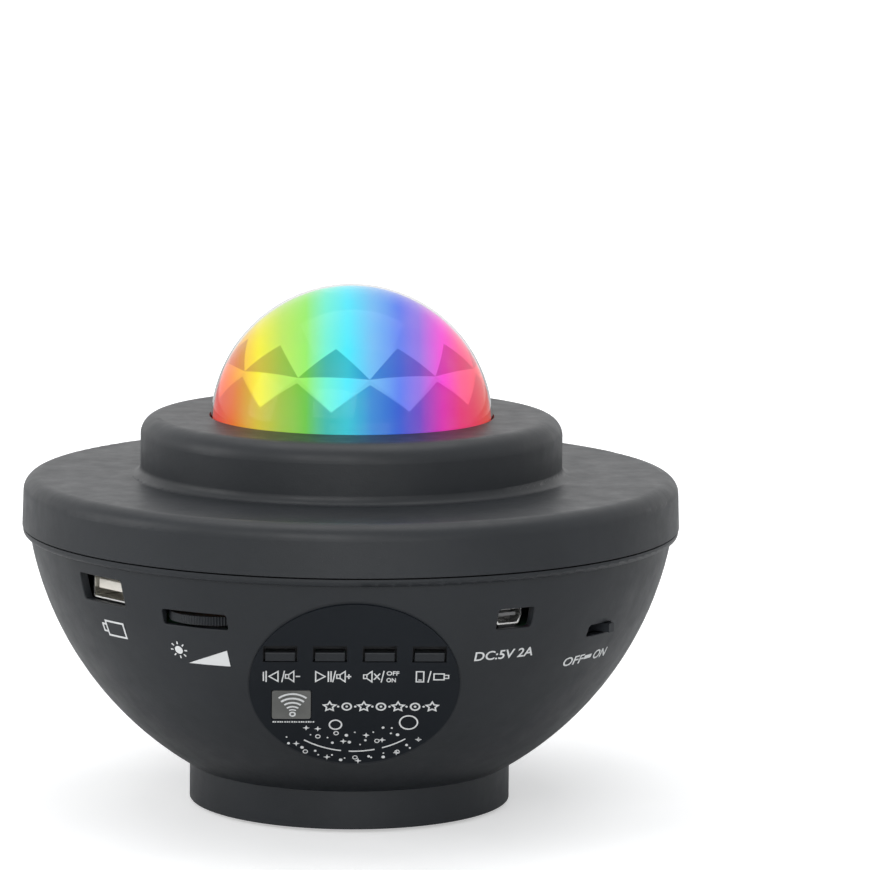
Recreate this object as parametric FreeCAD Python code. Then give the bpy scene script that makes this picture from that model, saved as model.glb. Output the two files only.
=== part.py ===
"""Star night light projector: a saucer housing on a round foot, with a clear faceted dome on top.

Units are millimetres. +Z is up and the origin is the centre of the circle the rubber feet stand on.
The control panel faces -Y. An azimuth is counted from the front, positive towards +X.
"""
import FreeCAD, Part
import math
import os

V = FreeCAD.Vector

# Bowl, the lower half of the housing: its outside is an arc turned about Z
BOWL_ARC_R = 86.5
WALL = 2.2
FOOT_R = 41.5
FOOT_TOP_Z = 10.72
FOOT_WALL = 2.4
FEET_PROUD = 1.0
SEAM_Z = 72.4
SEAM_GAP = 0.4
BEAD_INSET = 0.2
BEAD_DEPTH = 1.75
BEAD_HEIGHT = 1.9
BEAD_STEP = 0.45
TONGUE_HEIGHT = 3.1
TONGUE_CLEARANCE = 0.2

# How far a cutter runs past what it cuts
CUT_PAST = 4.0

# Cover, the upper half: rim, flat annulus, cove and collar
RIM_R = 84.6
RIM_DRAFT = 0.3
RIM_HEIGHT = 13.0
RIM_FILLET = 4.0
COVE_R = 2.4
COLLAR_WIDTH = 17.9
COLLAR_HEIGHT = 15.2
COLLAR_FILLET = 4.8
SKIRT_THICK = 1.6
SKIRT_DEPTH = 3.5
SKIRT_GAP = 0.15
SKIRT_STEP = 3.0

# Dome lens: smooth outside, facets inside
DOME_R = 36.4
DOME_SINK = 2.7
DOME_WALL = 2.4
DOME_GAP = 0.25
FLANGE_WIDTH = 4.6
FLANGE_THICK = 1.8
FACETS = 11
FACET_TURN = 7.0
CAP_LATITUDE = 75.0
UPPER_LATITUDE = 40.0
GIRDLE_LATITUDE = 26.4
LOWER_LATITUDE = 12.9
RING_WIDTH = 8.5
RING_THICK = 2.0
RING_SCREWS = 4

# Wave disc, its toothed rim and the drive
DISC_TEETH = 72
PINION_TEETH = 12
PINION_GAP = 1.65
TOOTH_HEIGHT = 0.7
TOOTH_ROOT = 1.35
TOOTH_ROOT_WIDTH = 1.55
TOOTH_TIP_WIDTH = 0.75
GEAR_THICK = 3.0
DISC_DROP = 12.2
DISC_WEB = 2.0
HUB_WALL = 2.9
HUB_HEIGHT = 6.6
SPINDLE_R = 5.6
SPINDLE_WALL = 1.3
RUNNING_CLEARANCE = 0.05
WASHER_THICK = 0.6
WASHER_PLAY = 0.2
GRATING_EDGE = 1.0
GRATING_THICK = 0.8
MOTOR_R = 8.5
MOTOR_SHAFT_R = 1.5
CLAMP_WALL = 2.3
CLAMP_HEIGHT = 6.0

# Light engine on its deck
DECK_DROP = 17.4
DECK_THICK = 2.2
DECK_EAR_OUT = 5.3
DECK_EAR_LENGTH = 8.0
DECK_EAR_WIDTH = 10.0
SINK_EDGE = 3.0
SINK_BASE = 3.0
FIN_HEIGHT = 13.0
FIN_COUNT = 7
FIN_THICK = 1.5
FIN_PITCH = 6.4
LED_BOARD_INSET = 2.0
LED_BOARD_THICK = 1.6
LED_COUNT = 4
LED_SIDE = 5.0
LED_THICK = 1.0
LED_LENS_R = 1.8
HOLDER_EDGE = 2.6
HOLDER_HEIGHT = 13.8
LENS_R = 7.2
LENS_THICK = 4.0
LENS_TO_SPINDLE = 1.4
LASER_R = 5.0
LASER_LENGTH = 26.0
LASER_LENS_R = 2.6

# Main board and what stands on it or hangs under it
BOARD_THICK = 1.6
BOARD_WIDTH = 28.5
BOARD_SPAN = 62.0
BOARD_GAP = 0.7
BOARD_POST_INSET = 23.5
BOARD_POST_AZ = (-52.0, -20.0, 20.0, 52.0)
POST_R = 3.4

# Thumbwheel
DIAL_AZ = -29.4
DIAL_DROP = 12.72
DIAL_R = 11.5
DIAL_THICK = 2.1
DIAL_PROUD = 0.7
DIAL_RIBS = 96
DIAL_RIB_DEPTH = 0.3
DIAL_SLOT = 18.1
DIAL_CLEARANCE = 0.9
DIAL_BORE_R = 2.6
POT_R = 6.5
POT_HEIGHT = 1.3
POT_GAP = 0.2

# Sockets
USB_AZ = -50.3
USB_DROP = 8.5
USB_SLOT = (16.2, 6.8)
USB_SHELL = (13.3, 5.8)
USB_DEPTH = 14.0
USB_INSET = 2.7
USB_TONGUE = 2.2
DC_AZ = 29.3
DC_DROP = 12.05
DC_SLOT = (10.1, 5.2)
DC_SHELL = (7.8, 4.0)
DC_DEPTH = 9.0
DC_INSET = 3.7
DC_TONGUE = 0.8
DC_TAPER = 0.95
SHELL_WALL = 0.35
TONGUE_INSET = 0.8
SLOT_CORNER = 0.7
SLOT_EDGE = 0.25
KEY_EDGE = 0.25

# Slide switch
SWITCH_AZ = 51.66
SWITCH_DROP = 18.5
SWITCH_SLOT = (9.4, 3.0)
KNOB_WIDTH = 2.1
KNOB_PROUD = 1.6
KNOB_GAP = 0.4
KNOB_TRAVEL = 6.0
KNOB_PLATE = (15.6, 5.2)
SWITCH_BODY = (11.0, 5.0)

# Four keys in a row
KEY_COUNT = 4
KEY_PITCH = 12.13
KEY_SLOT = (8.25, 4.3)
KEY_DROP = 20.35
KEY_SIDE_GAP = 0.5
KEY_TOP_GAP = 1.7
KEY_LOW_GAP = 0.2
KEY_PROUD = 0.5
KEY_FLANGE = 1.2
KEY_TRAVEL = 0.5
KEY_NAMES = ("key_previous", "key_play", "key_mute", "key_mode")

# Flat round panel cut into the bowl, its printed film and the remote window
PANEL_DROP = 10.55
FACET_R = 26.2
FACET_SPARE = 2.0
PANEL_EDGE = 0.4
PANEL_THICK = 0.35
PANEL_SEAT = 0.02
WINDOW = (9.5, 9.2)
WINDOW_PLACE = (-15.4, -6.6)
WINDOW_GAP = 0.15
WINDOW_CUT = 8.0
WINDOW_BEHIND = 0.6
RECEIVER_GAP = 0.7

# Base plate, feet, speaker
PLATE_THICK = 2.6
PLATE_GAP = 0.2
PLATE_INSET = 0.6
PLATE_SCREW_INSET = 6.3
PLATE_SCREWS = 4
BOSS_R = 4.2
BOSS_HEIGHT = 9.0
PAD_R = 5.0
PAD_RING_INSET = 10.5
PAD_RECESS = 0.6
PADS = 4
GRILLE_HOLE_R = 1.1
GRILLE_PITCH = 5.0
GRILLE_RING_COUNT = 3
SPEAKER_R = 19.0
SPEAKER_HEIGHT = 15.0
SPEAKER_LIP = 1.4
MAGNET_R = 11.0
MAGNET_HEIGHT = 5.0

# Screws
SCREW_R = 1.5
SCREW_HEAD_R = 3.0
SCREW_HEAD_HEIGHT = 1.6
SCREW_CLEARANCE = 0.05
COVER_SCREW_R = 66.0
COVER_SCREW_AZ = (-100.0, 100.0, -152.0, 152.0)
COVER_SCREW_DROP = 22.4
COVER_BOSS_R = 4.0
BOSS_GAP = 0.2

# Heights and radii that follow from the sizes above
FOOT_Z = FEET_PROUD
BOWL_TOP_Z = SEAM_Z - SEAM_GAP / 2
COVER_BASE_Z = SEAM_Z + SEAM_GAP / 2
ANNULUS_Z = SEAM_Z + RIM_HEIGHT
COLLAR_TOP_Z = ANNULUS_Z + COLLAR_HEIGHT
COLLAR_R = DOME_R + COLLAR_WIDTH
DECK_Z = ANNULUS_Z - DECK_DROP
DISC_Z = COLLAR_TOP_Z - DISC_DROP
DIAL_Z = SEAM_Z - DIAL_DROP
USB_Z = SEAM_Z - USB_DROP
DC_Z = SEAM_Z - DC_DROP
SWITCH_Z = SEAM_Z - SWITCH_DROP
KEY_SLOT_Z = SEAM_Z - KEY_DROP
PANEL_Z = KEY_SLOT_Z - PANEL_DROP
COVER_SCREW_HEAD_Z = SEAM_Z - COVER_SCREW_DROP

# The bowl's arc runs from the top of the foot to the bead under the seam
BEAD_R = RIM_R - BEAD_INSET
BEAD_Z = BOWL_TOP_Z - BEAD_HEIGHT
BOWL_EDGE_R = BEAD_R - BEAD_DEPTH
BOWL_CHORD = math.dist((FOOT_R, FOOT_TOP_Z), (BOWL_EDGE_R, BEAD_Z))
CHORD_TO_CENTRE = math.sqrt(BOWL_ARC_R ** 2 - (BOWL_CHORD / 2) ** 2)
BOWL_ARC_CENTRE_R = (FOOT_R + BOWL_EDGE_R) / 2 - CHORD_TO_CENTRE * (BEAD_Z - FOOT_TOP_Z) / BOWL_CHORD
BOWL_ARC_CENTRE_Z = (FOOT_TOP_Z + BEAD_Z) / 2 + CHORD_TO_CENTRE * (BOWL_EDGE_R - FOOT_R) / BOWL_CHORD

# The panel's plane stands square to the bowl's outside at PANEL_Z, as deep as makes it FACET_R wide
PANEL_TILT = math.asin((BOWL_ARC_CENTRE_Z - PANEL_Z) / BOWL_ARC_R)
CROSS_R = BOWL_ARC_R + BOWL_ARC_CENTRE_R / math.cos(PANEL_TILT)
FACET_DEPTH = CROSS_R - math.sqrt(CROSS_R ** 2 - FACET_R ** 2)
PANEL_OUT = BOWL_ARC_CENTRE_R + (BOWL_ARC_R - FACET_DEPTH) * math.cos(PANEL_TILT)
PANEL_MIDDLE_Z = BOWL_ARC_CENTRE_Z - (BOWL_ARC_R - FACET_DEPTH) * math.sin(PANEL_TILT)
PANEL_FRONT = PANEL_SEAT + PANEL_THICK

# What sits inside the cover, the collar and the foot
COVER_INNER_R = RIM_R - WALL
TONGUE_R = COVER_INNER_R - TONGUE_CLEARANCE
TONGUE_TOP_Z = BOWL_TOP_Z + TONGUE_HEIGHT
ROOF_Z = ANNULUS_Z - WALL
COLLAR_ROOF_Z = COLLAR_TOP_Z - WALL
DOME_CENTRE_Z = COLLAR_TOP_Z - DOME_SINK
DOME_OPENING_R = DOME_R + DOME_GAP
FLANGE_R = DOME_R + FLANGE_WIDTH
FLANGE_Z = COLLAR_ROOF_Z - FLANGE_THICK
RING_INNER_R = DOME_R + 1.0
RING_R = RING_INNER_R + RING_WIDTH
RING_Z = FLANGE_Z - RING_THICK
RING_SCREW_R = FLANGE_R + SCREW_HEAD_R - 0.3
SKIRT_INNER_R = COLLAR_R - WALL - SKIRT_GAP - SKIRT_THICK
DECK_EAR_R = COLLAR_R + COVE_R + DECK_EAR_OUT
DECK_R = DECK_EAR_R - DECK_EAR_LENGTH
DECK_TOP_Z = DECK_Z + DECK_THICK
HOLDER_TOP_Z = DECK_TOP_Z + HOLDER_HEIGHT
LED_BOARD_TOP_Z = DECK_Z + LED_BOARD_THICK
GEAR_MODULE = (SKIRT_INNER_R - PINION_GAP - TOOTH_HEIGHT) / (DISC_TEETH / 2 + PINION_TEETH)
DISC_PITCH_R = GEAR_MODULE * DISC_TEETH / 2
PINION_PITCH_R = GEAR_MODULE * PINION_TEETH / 2
GEAR_CENTRES = DISC_PITCH_R + PINION_PITCH_R
HUB_R = SPINDLE_R + HUB_WALL
SPINDLE_BORE_R = SPINDLE_R - SPINDLE_WALL
GRATING_R = SPINDLE_R + GRATING_EDGE
LED_RING_R = SPINDLE_R + LENS_TO_SPINDLE + LENS_R
HOLDER_R = LED_RING_R + LENS_R + HOLDER_EDGE
LED_BOARD_R = HOLDER_R - LED_BOARD_INSET
SINK_R = LED_BOARD_R + SINK_EDGE
GRATING_Z = DISC_Z + HUB_HEIGHT - GRATING_THICK - 0.4
SPINDLE_TOP_Z = GRATING_Z - 0.4
WASHER_Z = DISC_Z - WASHER_PLAY - WASHER_THICK
MOTOR_TOP_Z = DISC_Z - 4.0
POT_Z = DIAL_Z - DIAL_THICK / 2 - POT_GAP - POT_HEIGHT
BOARD_TOP_Z = POT_Z
BOARD_Z = BOARD_TOP_Z - BOARD_THICK
PLATE_Z = FOOT_Z + PLATE_INSET
PLATE_TOP_Z = PLATE_Z + PLATE_THICK
PLATE_SCREW_R = FOOT_R - PLATE_SCREW_INSET
PAD_RING_R = FOOT_R - PAD_RING_INSET


def bowl_radius(z, inset=0.0):
    """Radius of the bowl's arc at a height, inset from its outside."""
    return math.sqrt((BOWL_ARC_R - inset) ** 2 - (BOWL_ARC_CENTRE_Z - z) ** 2) + BOWL_ARC_CENTRE_R


def bowl_height(r, inset=0.0):
    """Height at which the bowl's arc has a radius."""
    return BOWL_ARC_CENTRE_Z - math.sqrt((BOWL_ARC_R - inset) ** 2 - (r - BOWL_ARC_CENTRE_R) ** 2)


def board_radius():
    return bowl_radius(BOARD_Z, WALL) - BOARD_GAP


def board_post_radius():
    return board_radius() - BOARD_POST_INSET


def arc_middle(centre, start, end):
    """Point half way along the shorter arc from start to end about a centre."""
    radius = math.dist(centre, start)
    mid = [(start[i] + end[i]) / 2 - centre[i] for i in range(2)]
    scale = radius / math.hypot(*mid)
    return (centre[0] + mid[0] * scale, centre[1] + mid[1] * scale)


def turned(outline):
    """Solid of revolution about Z. The outline is a list of (r, z) points; a point that ends an arc
    is given as (r, z, centre)."""
    edges = []
    count = len(outline)
    for index in range(count):
        start = outline[index][:2]
        target = outline[(index + 1) % count]
        end = target[:2]
        p, q = V(start[0], 0, start[1]), V(end[0], 0, end[1])
        if len(target) == 3:
            mid = arc_middle(target[2], start, end)
            edges.append(Part.Arc(p, V(mid[0], 0, mid[1]), q).toShape())
        else:
            edges.append(Part.LineSegment(p, q).toShape())
    face = Part.Face(Part.Wire(edges))
    return face.revolve(V(0, 0, 0), V(0, 0, 1), 360)


def tube(inner, outer, z_low, z_high):
    return turned([(inner, z_low), (outer, z_low), (outer, z_high), (inner, z_high)])


def rod(radius, z_low, z_high, x=0.0, y=0.0):
    return Part.makeCylinder(radius, z_high - z_low, V(x, y, z_low))


def around(shape, azimuth):
    """Copy of a shape turned about Z from the front to an azimuth."""
    copy = shape.copy()
    copy.rotate(V(0, 0, 0), V(0, 0, 1), azimuth)
    return copy


def ring_of(shape, count, first=0.0):
    return [around(shape, first + 360.0 * index / count) for index in range(count)]


def front_box(width, height, z, near, far, x=0.0):
    """Box centred on x and z that runs along -Y from one radius to another."""
    return Part.makeBox(width, far - near, height, V(x - width / 2, -far, z - height / 2))


def rounded_slot(width, height, z, near, far, corner=SLOT_CORNER):
    box = front_box(width, height, z, near, far)
    along = [edge for edge in box.Edges if abs(edge.tangentAt(edge.FirstParameter).y) > 0.9]
    return box.makeFillet(min(corner, 0.4 * height), along)


def fused(shapes):
    return shapes[0].multiFuse(shapes[1:]).removeSplitter() if len(shapes) > 1 else shapes[0]


def screw(head_z, tip_z, radius_from_axis, up=True):
    """Pan head screw in front of the axis. Its head is at the low end when it points up."""
    y = -radius_from_axis
    if up:
        head = rod(SCREW_HEAD_R, head_z - SCREW_HEAD_HEIGHT, head_z, y=y)
        shank = rod(SCREW_R, head_z - 0.2, tip_z, y=y)
        drive = front_box(3.2, 1.0, head_z - SCREW_HEAD_HEIGHT, -y - 0.4, -y + 0.4)
        cross = front_box(0.8, 1.0, head_z - SCREW_HEAD_HEIGHT, -y - 1.6, -y + 1.6)
    else:
        head = rod(SCREW_HEAD_R, head_z, head_z + SCREW_HEAD_HEIGHT, y=y)
        shank = rod(SCREW_R, tip_z, head_z + 0.2, y=y)
        drive = front_box(3.2, 1.0, head_z + SCREW_HEAD_HEIGHT, -y - 0.4, -y + 0.4)
        cross = front_box(0.8, 1.0, head_z + SCREW_HEAD_HEIGHT, -y - 1.6, -y + 1.6)
    return head.fuse(shank).cut(drive).cut(cross)


def bowl_outline(inset, top_z):
    """Closed outline of the bowl's outside from the foot to a height, offset inwards."""
    foot_r = FOOT_R - inset
    return [(0, FOOT_Z), (foot_r, FOOT_Z), (foot_r, bowl_height(foot_r, inset)),
            (bowl_radius(top_z, inset), top_z, (BOWL_ARC_CENTRE_R, BOWL_ARC_CENTRE_Z)), (0, top_z)]


def wall_reach(width, height, z):
    """Radii between which a cutter of a width and height goes through the bowl's wall."""
    behind = math.sqrt(bowl_radius(z - height / 2, WALL) ** 2 - (width / 2) ** 2)
    return behind - CUT_PAST, RIM_R + CUT_PAST


def on_panel(shape):
    """Place a shape, drawn about the origin and facing -Y, on the middle of the flat panel."""
    copy = shape.copy()
    copy.rotate(V(0, 0, 0), V(1, 0, 0), math.degrees(PANEL_TILT))
    copy.translate(V(0, -PANEL_OUT, PANEL_MIDDLE_Z))
    return copy


def panel_disc(radius, behind, ahead):
    """Disc on the panel, from a depth behind its plane to a height ahead of it."""
    return on_panel(Part.makeCylinder(radius, behind + ahead, V(0, behind, 0), V(0, -1, 0)))


def panel_front(z, inset=0.0):
    """How far in front of the axis the panel's plane is at a height, inset from its face."""
    rise = (z - PANEL_MIDDLE_Z) * math.sin(PANEL_TILT)
    return PANEL_OUT + (rise - inset) / math.cos(PANEL_TILT)


def panel_lift(point):
    """How far a point is ahead of the panel's plane."""
    return (-point.y - panel_front(point.z)) * math.cos(PANEL_TILT)


def window_block(gap, behind, ahead):
    width, height = WINDOW[0] + 2 * gap, WINDOW[1] + 2 * gap
    x, z = WINDOW_PLACE
    return on_panel(rounded_slot(width, height, z, -behind, ahead, 0.6).translated(V(x, 0, 0)))


def key_places():
    return [KEY_PITCH * (index - (KEY_COUNT - 1) / 2) for index in range(KEY_COUNT)]


def key_slots(margin=0.0):
    width, height = KEY_SLOT[0] + 2 * margin, KEY_SLOT[1] + 2 * margin
    near = panel_front(KEY_SLOT_Z - height / 2, WALL) - CUT_PAST
    far = panel_front(KEY_SLOT_Z + height / 2) + CUT_PAST
    return [front_box(width, height, KEY_SLOT_Z, near, far, x) for x in key_places()]


def dial_centre_radius():
    return bowl_radius(DIAL_Z) + DIAL_PROUD - DIAL_R


def control_cuts():
    """Everything that opens the bowl's wall, as one list of cutters."""
    usb = rounded_slot(*USB_SLOT, USB_Z, *wall_reach(*USB_SLOT, USB_Z))
    dc = rounded_slot(*DC_SLOT, DC_Z, *wall_reach(*DC_SLOT, DC_Z))
    switch = rounded_slot(*SWITCH_SLOT, SWITCH_Z, *wall_reach(*SWITCH_SLOT, SWITCH_Z))
    dial_height = DIAL_THICK + 2 * DIAL_CLEARANCE
    dial = rounded_slot(DIAL_SLOT, dial_height, DIAL_Z, *wall_reach(DIAL_SLOT, dial_height, DIAL_Z))
    dial_pocket = rod(DIAL_R + DIAL_CLEARANCE, DIAL_Z - dial_height / 2, DIAL_Z + dial_height / 2,
                      y=-dial_centre_radius())
    return [around(usb, USB_AZ), around(dc, DC_AZ), around(switch, SWITCH_AZ), around(dial, DIAL_AZ),
            around(dial_pocket, DIAL_AZ)] + key_slots() + [window_block(WINDOW_GAP, WINDOW_CUT, WINDOW_CUT)]


def from_bowl_centre(point):
    """Distance of a point from the centre of the bowl's arc in the plane through the axis."""
    return math.dist((math.hypot(point.x, point.y), point.z), (BOWL_ARC_CENTRE_R, BOWL_ARC_CENTRE_Z))


def slot_rims(body):
    """Edges where the slots of the controls open on the bowl's outside, but not those of the panel."""
    rims = []
    for edge in body.Edges:
        points = edge.discretize(5)
        on_outside = all(abs(from_bowl_centre(p) - BOWL_ARC_R) < 0.01 for p in points)
        box = edge.BoundBox
        in_band = SWITCH_Z - SWITCH_SLOT[1] < box.ZMin and box.ZMax < USB_Z + USB_SLOT[1]
        beside_panel = abs(box.Center.x) > FACET_R
        if on_outside and in_band and beside_panel and box.DiagonalLength < USB_SLOT[0] + 6:
            rims.append(edge)
    return rims


def bowl_housing():
    centre = (BOWL_ARC_CENTRE_R, BOWL_ARC_CENTRE_Z)
    inner_foot_r = FOOT_R - FOOT_WALL
    bead_corner = BEAD_DEPTH - BEAD_STEP
    tongue_inner_r = bowl_radius(BOWL_TOP_Z, WALL)
    shell = turned([
        (inner_foot_r, FOOT_Z), (FOOT_R, FOOT_Z), (FOOT_R, FOOT_TOP_Z),
        (BOWL_EDGE_R, BEAD_Z, centre), (BOWL_EDGE_R + BEAD_STEP, BEAD_Z),
        (BEAD_R, BEAD_Z + bead_corner, (BEAD_R - bead_corner, BEAD_Z + bead_corner)),
        (BEAD_R, BOWL_TOP_Z), (TONGUE_R, BOWL_TOP_Z), (TONGUE_R, TONGUE_TOP_Z),
        (tongue_inner_r, TONGUE_TOP_Z), (tongue_inner_r, BOWL_TOP_Z),
        (inner_foot_r, bowl_height(inner_foot_r, WALL), centre)])
    filled = turned(bowl_outline(0.2, BOWL_TOP_Z))
    board_post = rod(POST_R, FOOT_Z, BOARD_Z, y=-board_post_radius())
    cover_post = rod(COVER_BOSS_R, FOOT_Z, BOWL_TOP_Z - BOSS_GAP, y=-COVER_SCREW_R)
    posts = [around(board_post, azimuth) for azimuth in BOARD_POST_AZ]
    posts += [around(cover_post, azimuth) for azimuth in COVER_SCREW_AZ]
    posts = [post.common(filled) for post in posts]
    boss = rod(BOSS_R, PLATE_TOP_Z, PLATE_TOP_Z + BOSS_HEIGHT, y=-PLATE_SCREW_R)
    posts += ring_of(boss.common(filled), PLATE_SCREWS)
    facet_r = FACET_R + FACET_SPARE
    body = fused([shell] + posts).cut(panel_disc(facet_r, 0, 2 * FACET_DEPTH))
    body = body.fuse(panel_disc(facet_r, WALL, 0).common(filled)).removeSplitter()
    board_pilot = rod(SCREW_R + SCREW_CLEARANCE, BOARD_Z - 9, BOARD_TOP_Z, y=-board_post_radius())
    cover_hole = rod(SCREW_R + 0.25, FOOT_Z, BOWL_TOP_Z, y=-COVER_SCREW_R)
    counterbore = rod(SCREW_HEAD_R + 0.4, FOOT_Z, COVER_SCREW_HEAD_Z, y=-COVER_SCREW_R)
    plate_pilot = rod(SCREW_R + SCREW_CLEARANCE, PLATE_TOP_Z - 1, PLATE_TOP_Z + BOSS_HEIGHT - 1.5,
                      y=-PLATE_SCREW_R)
    cuts = control_cuts() + [around(board_pilot, azimuth) for azimuth in BOARD_POST_AZ]
    cuts += [around(cover_hole, azimuth) for azimuth in COVER_SCREW_AZ]
    cuts += [around(counterbore, azimuth) for azimuth in COVER_SCREW_AZ]
    cuts += ring_of(plate_pilot, PLATE_SCREWS)
    body = body.cut(cuts)
    return body.makeFillet(SLOT_EDGE, slot_rims(body))


def deck_azimuths():
    return [0.0, 90.0, 180.0, 270.0]


def top_cover():
    rim_centre = (RIM_R - RIM_DRAFT - RIM_FILLET, ANNULUS_Z - RIM_FILLET)
    cove_centre = (COLLAR_R + COVE_R, ANNULUS_Z + COVE_R)
    collar_inner_r = COLLAR_R - WALL
    inner_rim_r = RIM_R - RIM_DRAFT - WALL
    shell = turned([
        (COVER_INNER_R, COVER_BASE_Z), (RIM_R, COVER_BASE_Z), (RIM_R - RIM_DRAFT, rim_centre[1]),
        (rim_centre[0], ANNULUS_Z, rim_centre), (cove_centre[0], ANNULUS_Z),
        (COLLAR_R, cove_centre[1], cove_centre), (collar_inner_r, cove_centre[1]),
        (cove_centre[0], ROOF_Z, cove_centre), (rim_centre[0], ROOF_Z),
        (inner_rim_r, rim_centre[1], rim_centre)])
    boss = rod(COVER_BOSS_R, BOWL_TOP_Z, ROOF_Z + 0.5, y=-COVER_SCREW_R)
    boss = boss.cut(rod(SCREW_R + SCREW_CLEARANCE, BOWL_TOP_Z, ROOF_Z - 1.5, y=-COVER_SCREW_R))
    hanger = rod(POST_R, DECK_TOP_Z, ROOF_Z + 0.5, y=-DECK_EAR_R)
    hanger = hanger.cut(rod(SCREW_R + SCREW_CLEARANCE, DECK_TOP_Z, DECK_TOP_Z + 9, y=-DECK_EAR_R))
    parts = [shell] + [around(boss, azimuth) for azimuth in COVER_SCREW_AZ]
    return fused(parts + [around(hanger, azimuth) for azimuth in deck_azimuths()])


def dome_collar():
    """Raised ring round the dome. Its skirt sits inside the neck of the cover."""
    base_z = ANNULUS_Z + COVE_R
    centre = (COLLAR_R - COLLAR_FILLET, COLLAR_TOP_Z - COLLAR_FILLET)
    inner_r = COLLAR_R - WALL
    skirt_r = inner_r - SKIRT_GAP
    shell = turned([
        (COLLAR_R, base_z), (COLLAR_R, centre[1]), (centre[0], COLLAR_TOP_Z, centre),
        (DOME_OPENING_R, COLLAR_TOP_Z), (DOME_OPENING_R, COLLAR_ROOF_Z), (centre[0], COLLAR_ROOF_Z),
        (inner_r, centre[1], centre), (inner_r, base_z + SKIRT_STEP),
        (skirt_r - SKIRT_THICK, base_z + SKIRT_STEP), (skirt_r - SKIRT_THICK, base_z - SKIRT_DEPTH),
        (skirt_r, base_z - SKIRT_DEPTH), (skirt_r, base_z)])
    boss = rod(POST_R, FLANGE_Z, COLLAR_ROOF_Z + 0.3, y=-RING_SCREW_R)
    boss = boss.cut(rod(FLANGE_R + DOME_GAP, FLANGE_Z, COLLAR_ROOF_Z))
    pilot = rod(SCREW_R + SCREW_CLEARANCE, FLANGE_Z - 0.1, COLLAR_TOP_Z - 0.9, y=-RING_SCREW_R)
    whole = fused([shell] + ring_of(boss, RING_SCREWS, 45.0))
    return whole.cut(ring_of(pilot, RING_SCREWS, 45.0))


def sphere_ring(radius, latitude, turn, floor_z=None):
    """Corners of one ring of the inner facets."""
    lat = math.radians(latitude)
    z = DOME_CENTRE_Z + radius * math.sin(lat) if floor_z is None else floor_z
    ring_r = radius * math.cos(lat)
    corners = []
    for index in range(FACETS):
        azimuth = math.radians(FACET_TURN + 360.0 / FACETS * (index + turn))
        corners.append(V(ring_r * math.sin(azimuth), -ring_r * math.cos(azimuth), z))
    return corners


def polygon(points):
    return Part.Face(Part.makePolygon(list(points) + [points[0]]))


def facet_core():
    """Closed many-sided solid that hollows the dome: its faces are the lens's facets."""
    radius = DOME_R - DOME_WALL
    cap = sphere_ring(radius, CAP_LATITUDE, 0.5)
    upper = sphere_ring(radius, UPPER_LATITUDE, 0.5)
    girdle = sphere_ring(radius, GIRDLE_LATITUDE, 0.0)
    lower = sphere_ring(radius, LOWER_LATITUDE, 0.5)
    base = sphere_ring(radius, 0.0, 0.5, FLANGE_Z - 1.0)
    faces = [polygon(cap), polygon(base)]
    for index in range(FACETS):
        after = (index + 1) % FACETS
        before = (index - 1) % FACETS
        faces.append(polygon([cap[index], cap[after], upper[after], upper[index]]))
        faces.append(polygon([girdle[index], upper[before], upper[index]]))
        faces.append(polygon([girdle[index], girdle[after], upper[index]]))
        faces.append(polygon([girdle[index], girdle[after], lower[index]]))
        faces.append(polygon([girdle[index], lower[before], lower[index]]))
        faces.append(polygon([lower[index], lower[after], base[after], base[index]]))
    return Part.Solid(Part.makeShell(faces))


def dome_lens():
    ball = Part.makeSphere(DOME_R, V(0, 0, DOME_CENTRE_Z))
    ball = ball.common(rod(DOME_R + 1, FLANGE_Z, DOME_CENTRE_Z + DOME_R + 1))
    flange = rod(FLANGE_R, FLANGE_Z, COLLAR_ROOF_Z)
    core = facet_core()
    if core.Volume < 0:
        core.reverse()
    return ball.fuse(flange).removeSplitter().cut(core)


def dome_ring():
    ring = tube(RING_INNER_R, RING_R, RING_Z, FLANGE_Z)
    ear = rod(SCREW_HEAD_R + 0.6, RING_Z, FLANGE_Z, y=-RING_SCREW_R)
    hole = rod(SCREW_R + 0.2, RING_Z, FLANGE_Z, y=-RING_SCREW_R)
    whole = fused([ring] + ring_of(ear, RING_SCREWS, 45.0))
    return whole.cut(ring_of(hole, RING_SCREWS, 45.0))


def gear(teeth, z_low, thick, first):
    """Toothed wheel with flat-sided teeth; one tooth is centred on the first angle."""
    pitch_r = GEAR_MODULE * teeth / 2
    root_r, tip_r = pitch_r - TOOTH_ROOT, pitch_r + TOOTH_HEIGHT
    root_half, tip_half = TOOTH_ROOT_WIDTH / 2 / root_r, TOOTH_TIP_WIDTH / 2 / tip_r
    points = []
    for index in range(teeth):
        angle = math.radians(first) + 2 * math.pi * index / teeth
        for r, offset in ((root_r, -root_half), (tip_r, -tip_half), (tip_r, tip_half), (root_r, root_half)):
            points.append(V(r * math.cos(angle + offset), r * math.sin(angle + offset), z_low))
    return polygon(points).extrude(V(0, 0, thick))


def wave_disc():
    rim = gear(DISC_TEETH, DISC_Z, GEAR_THICK, 90.0)
    dish = rod(DISC_PITCH_R - 3.0, DISC_Z + DISC_WEB, DISC_Z + GEAR_THICK + 1)
    hub = rod(HUB_R, DISC_Z, DISC_Z + HUB_HEIGHT)
    bore = rod(SPINDLE_R + RUNNING_CLEARANCE, DISC_Z - 1, GRATING_Z + 0.1)
    seat = rod(GRATING_R + 0.05, GRATING_Z, DISC_Z + HUB_HEIGHT + 1)
    return rim.cut(dish).fuse(hub).removeSplitter().cut(bore).cut(seat)


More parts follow.
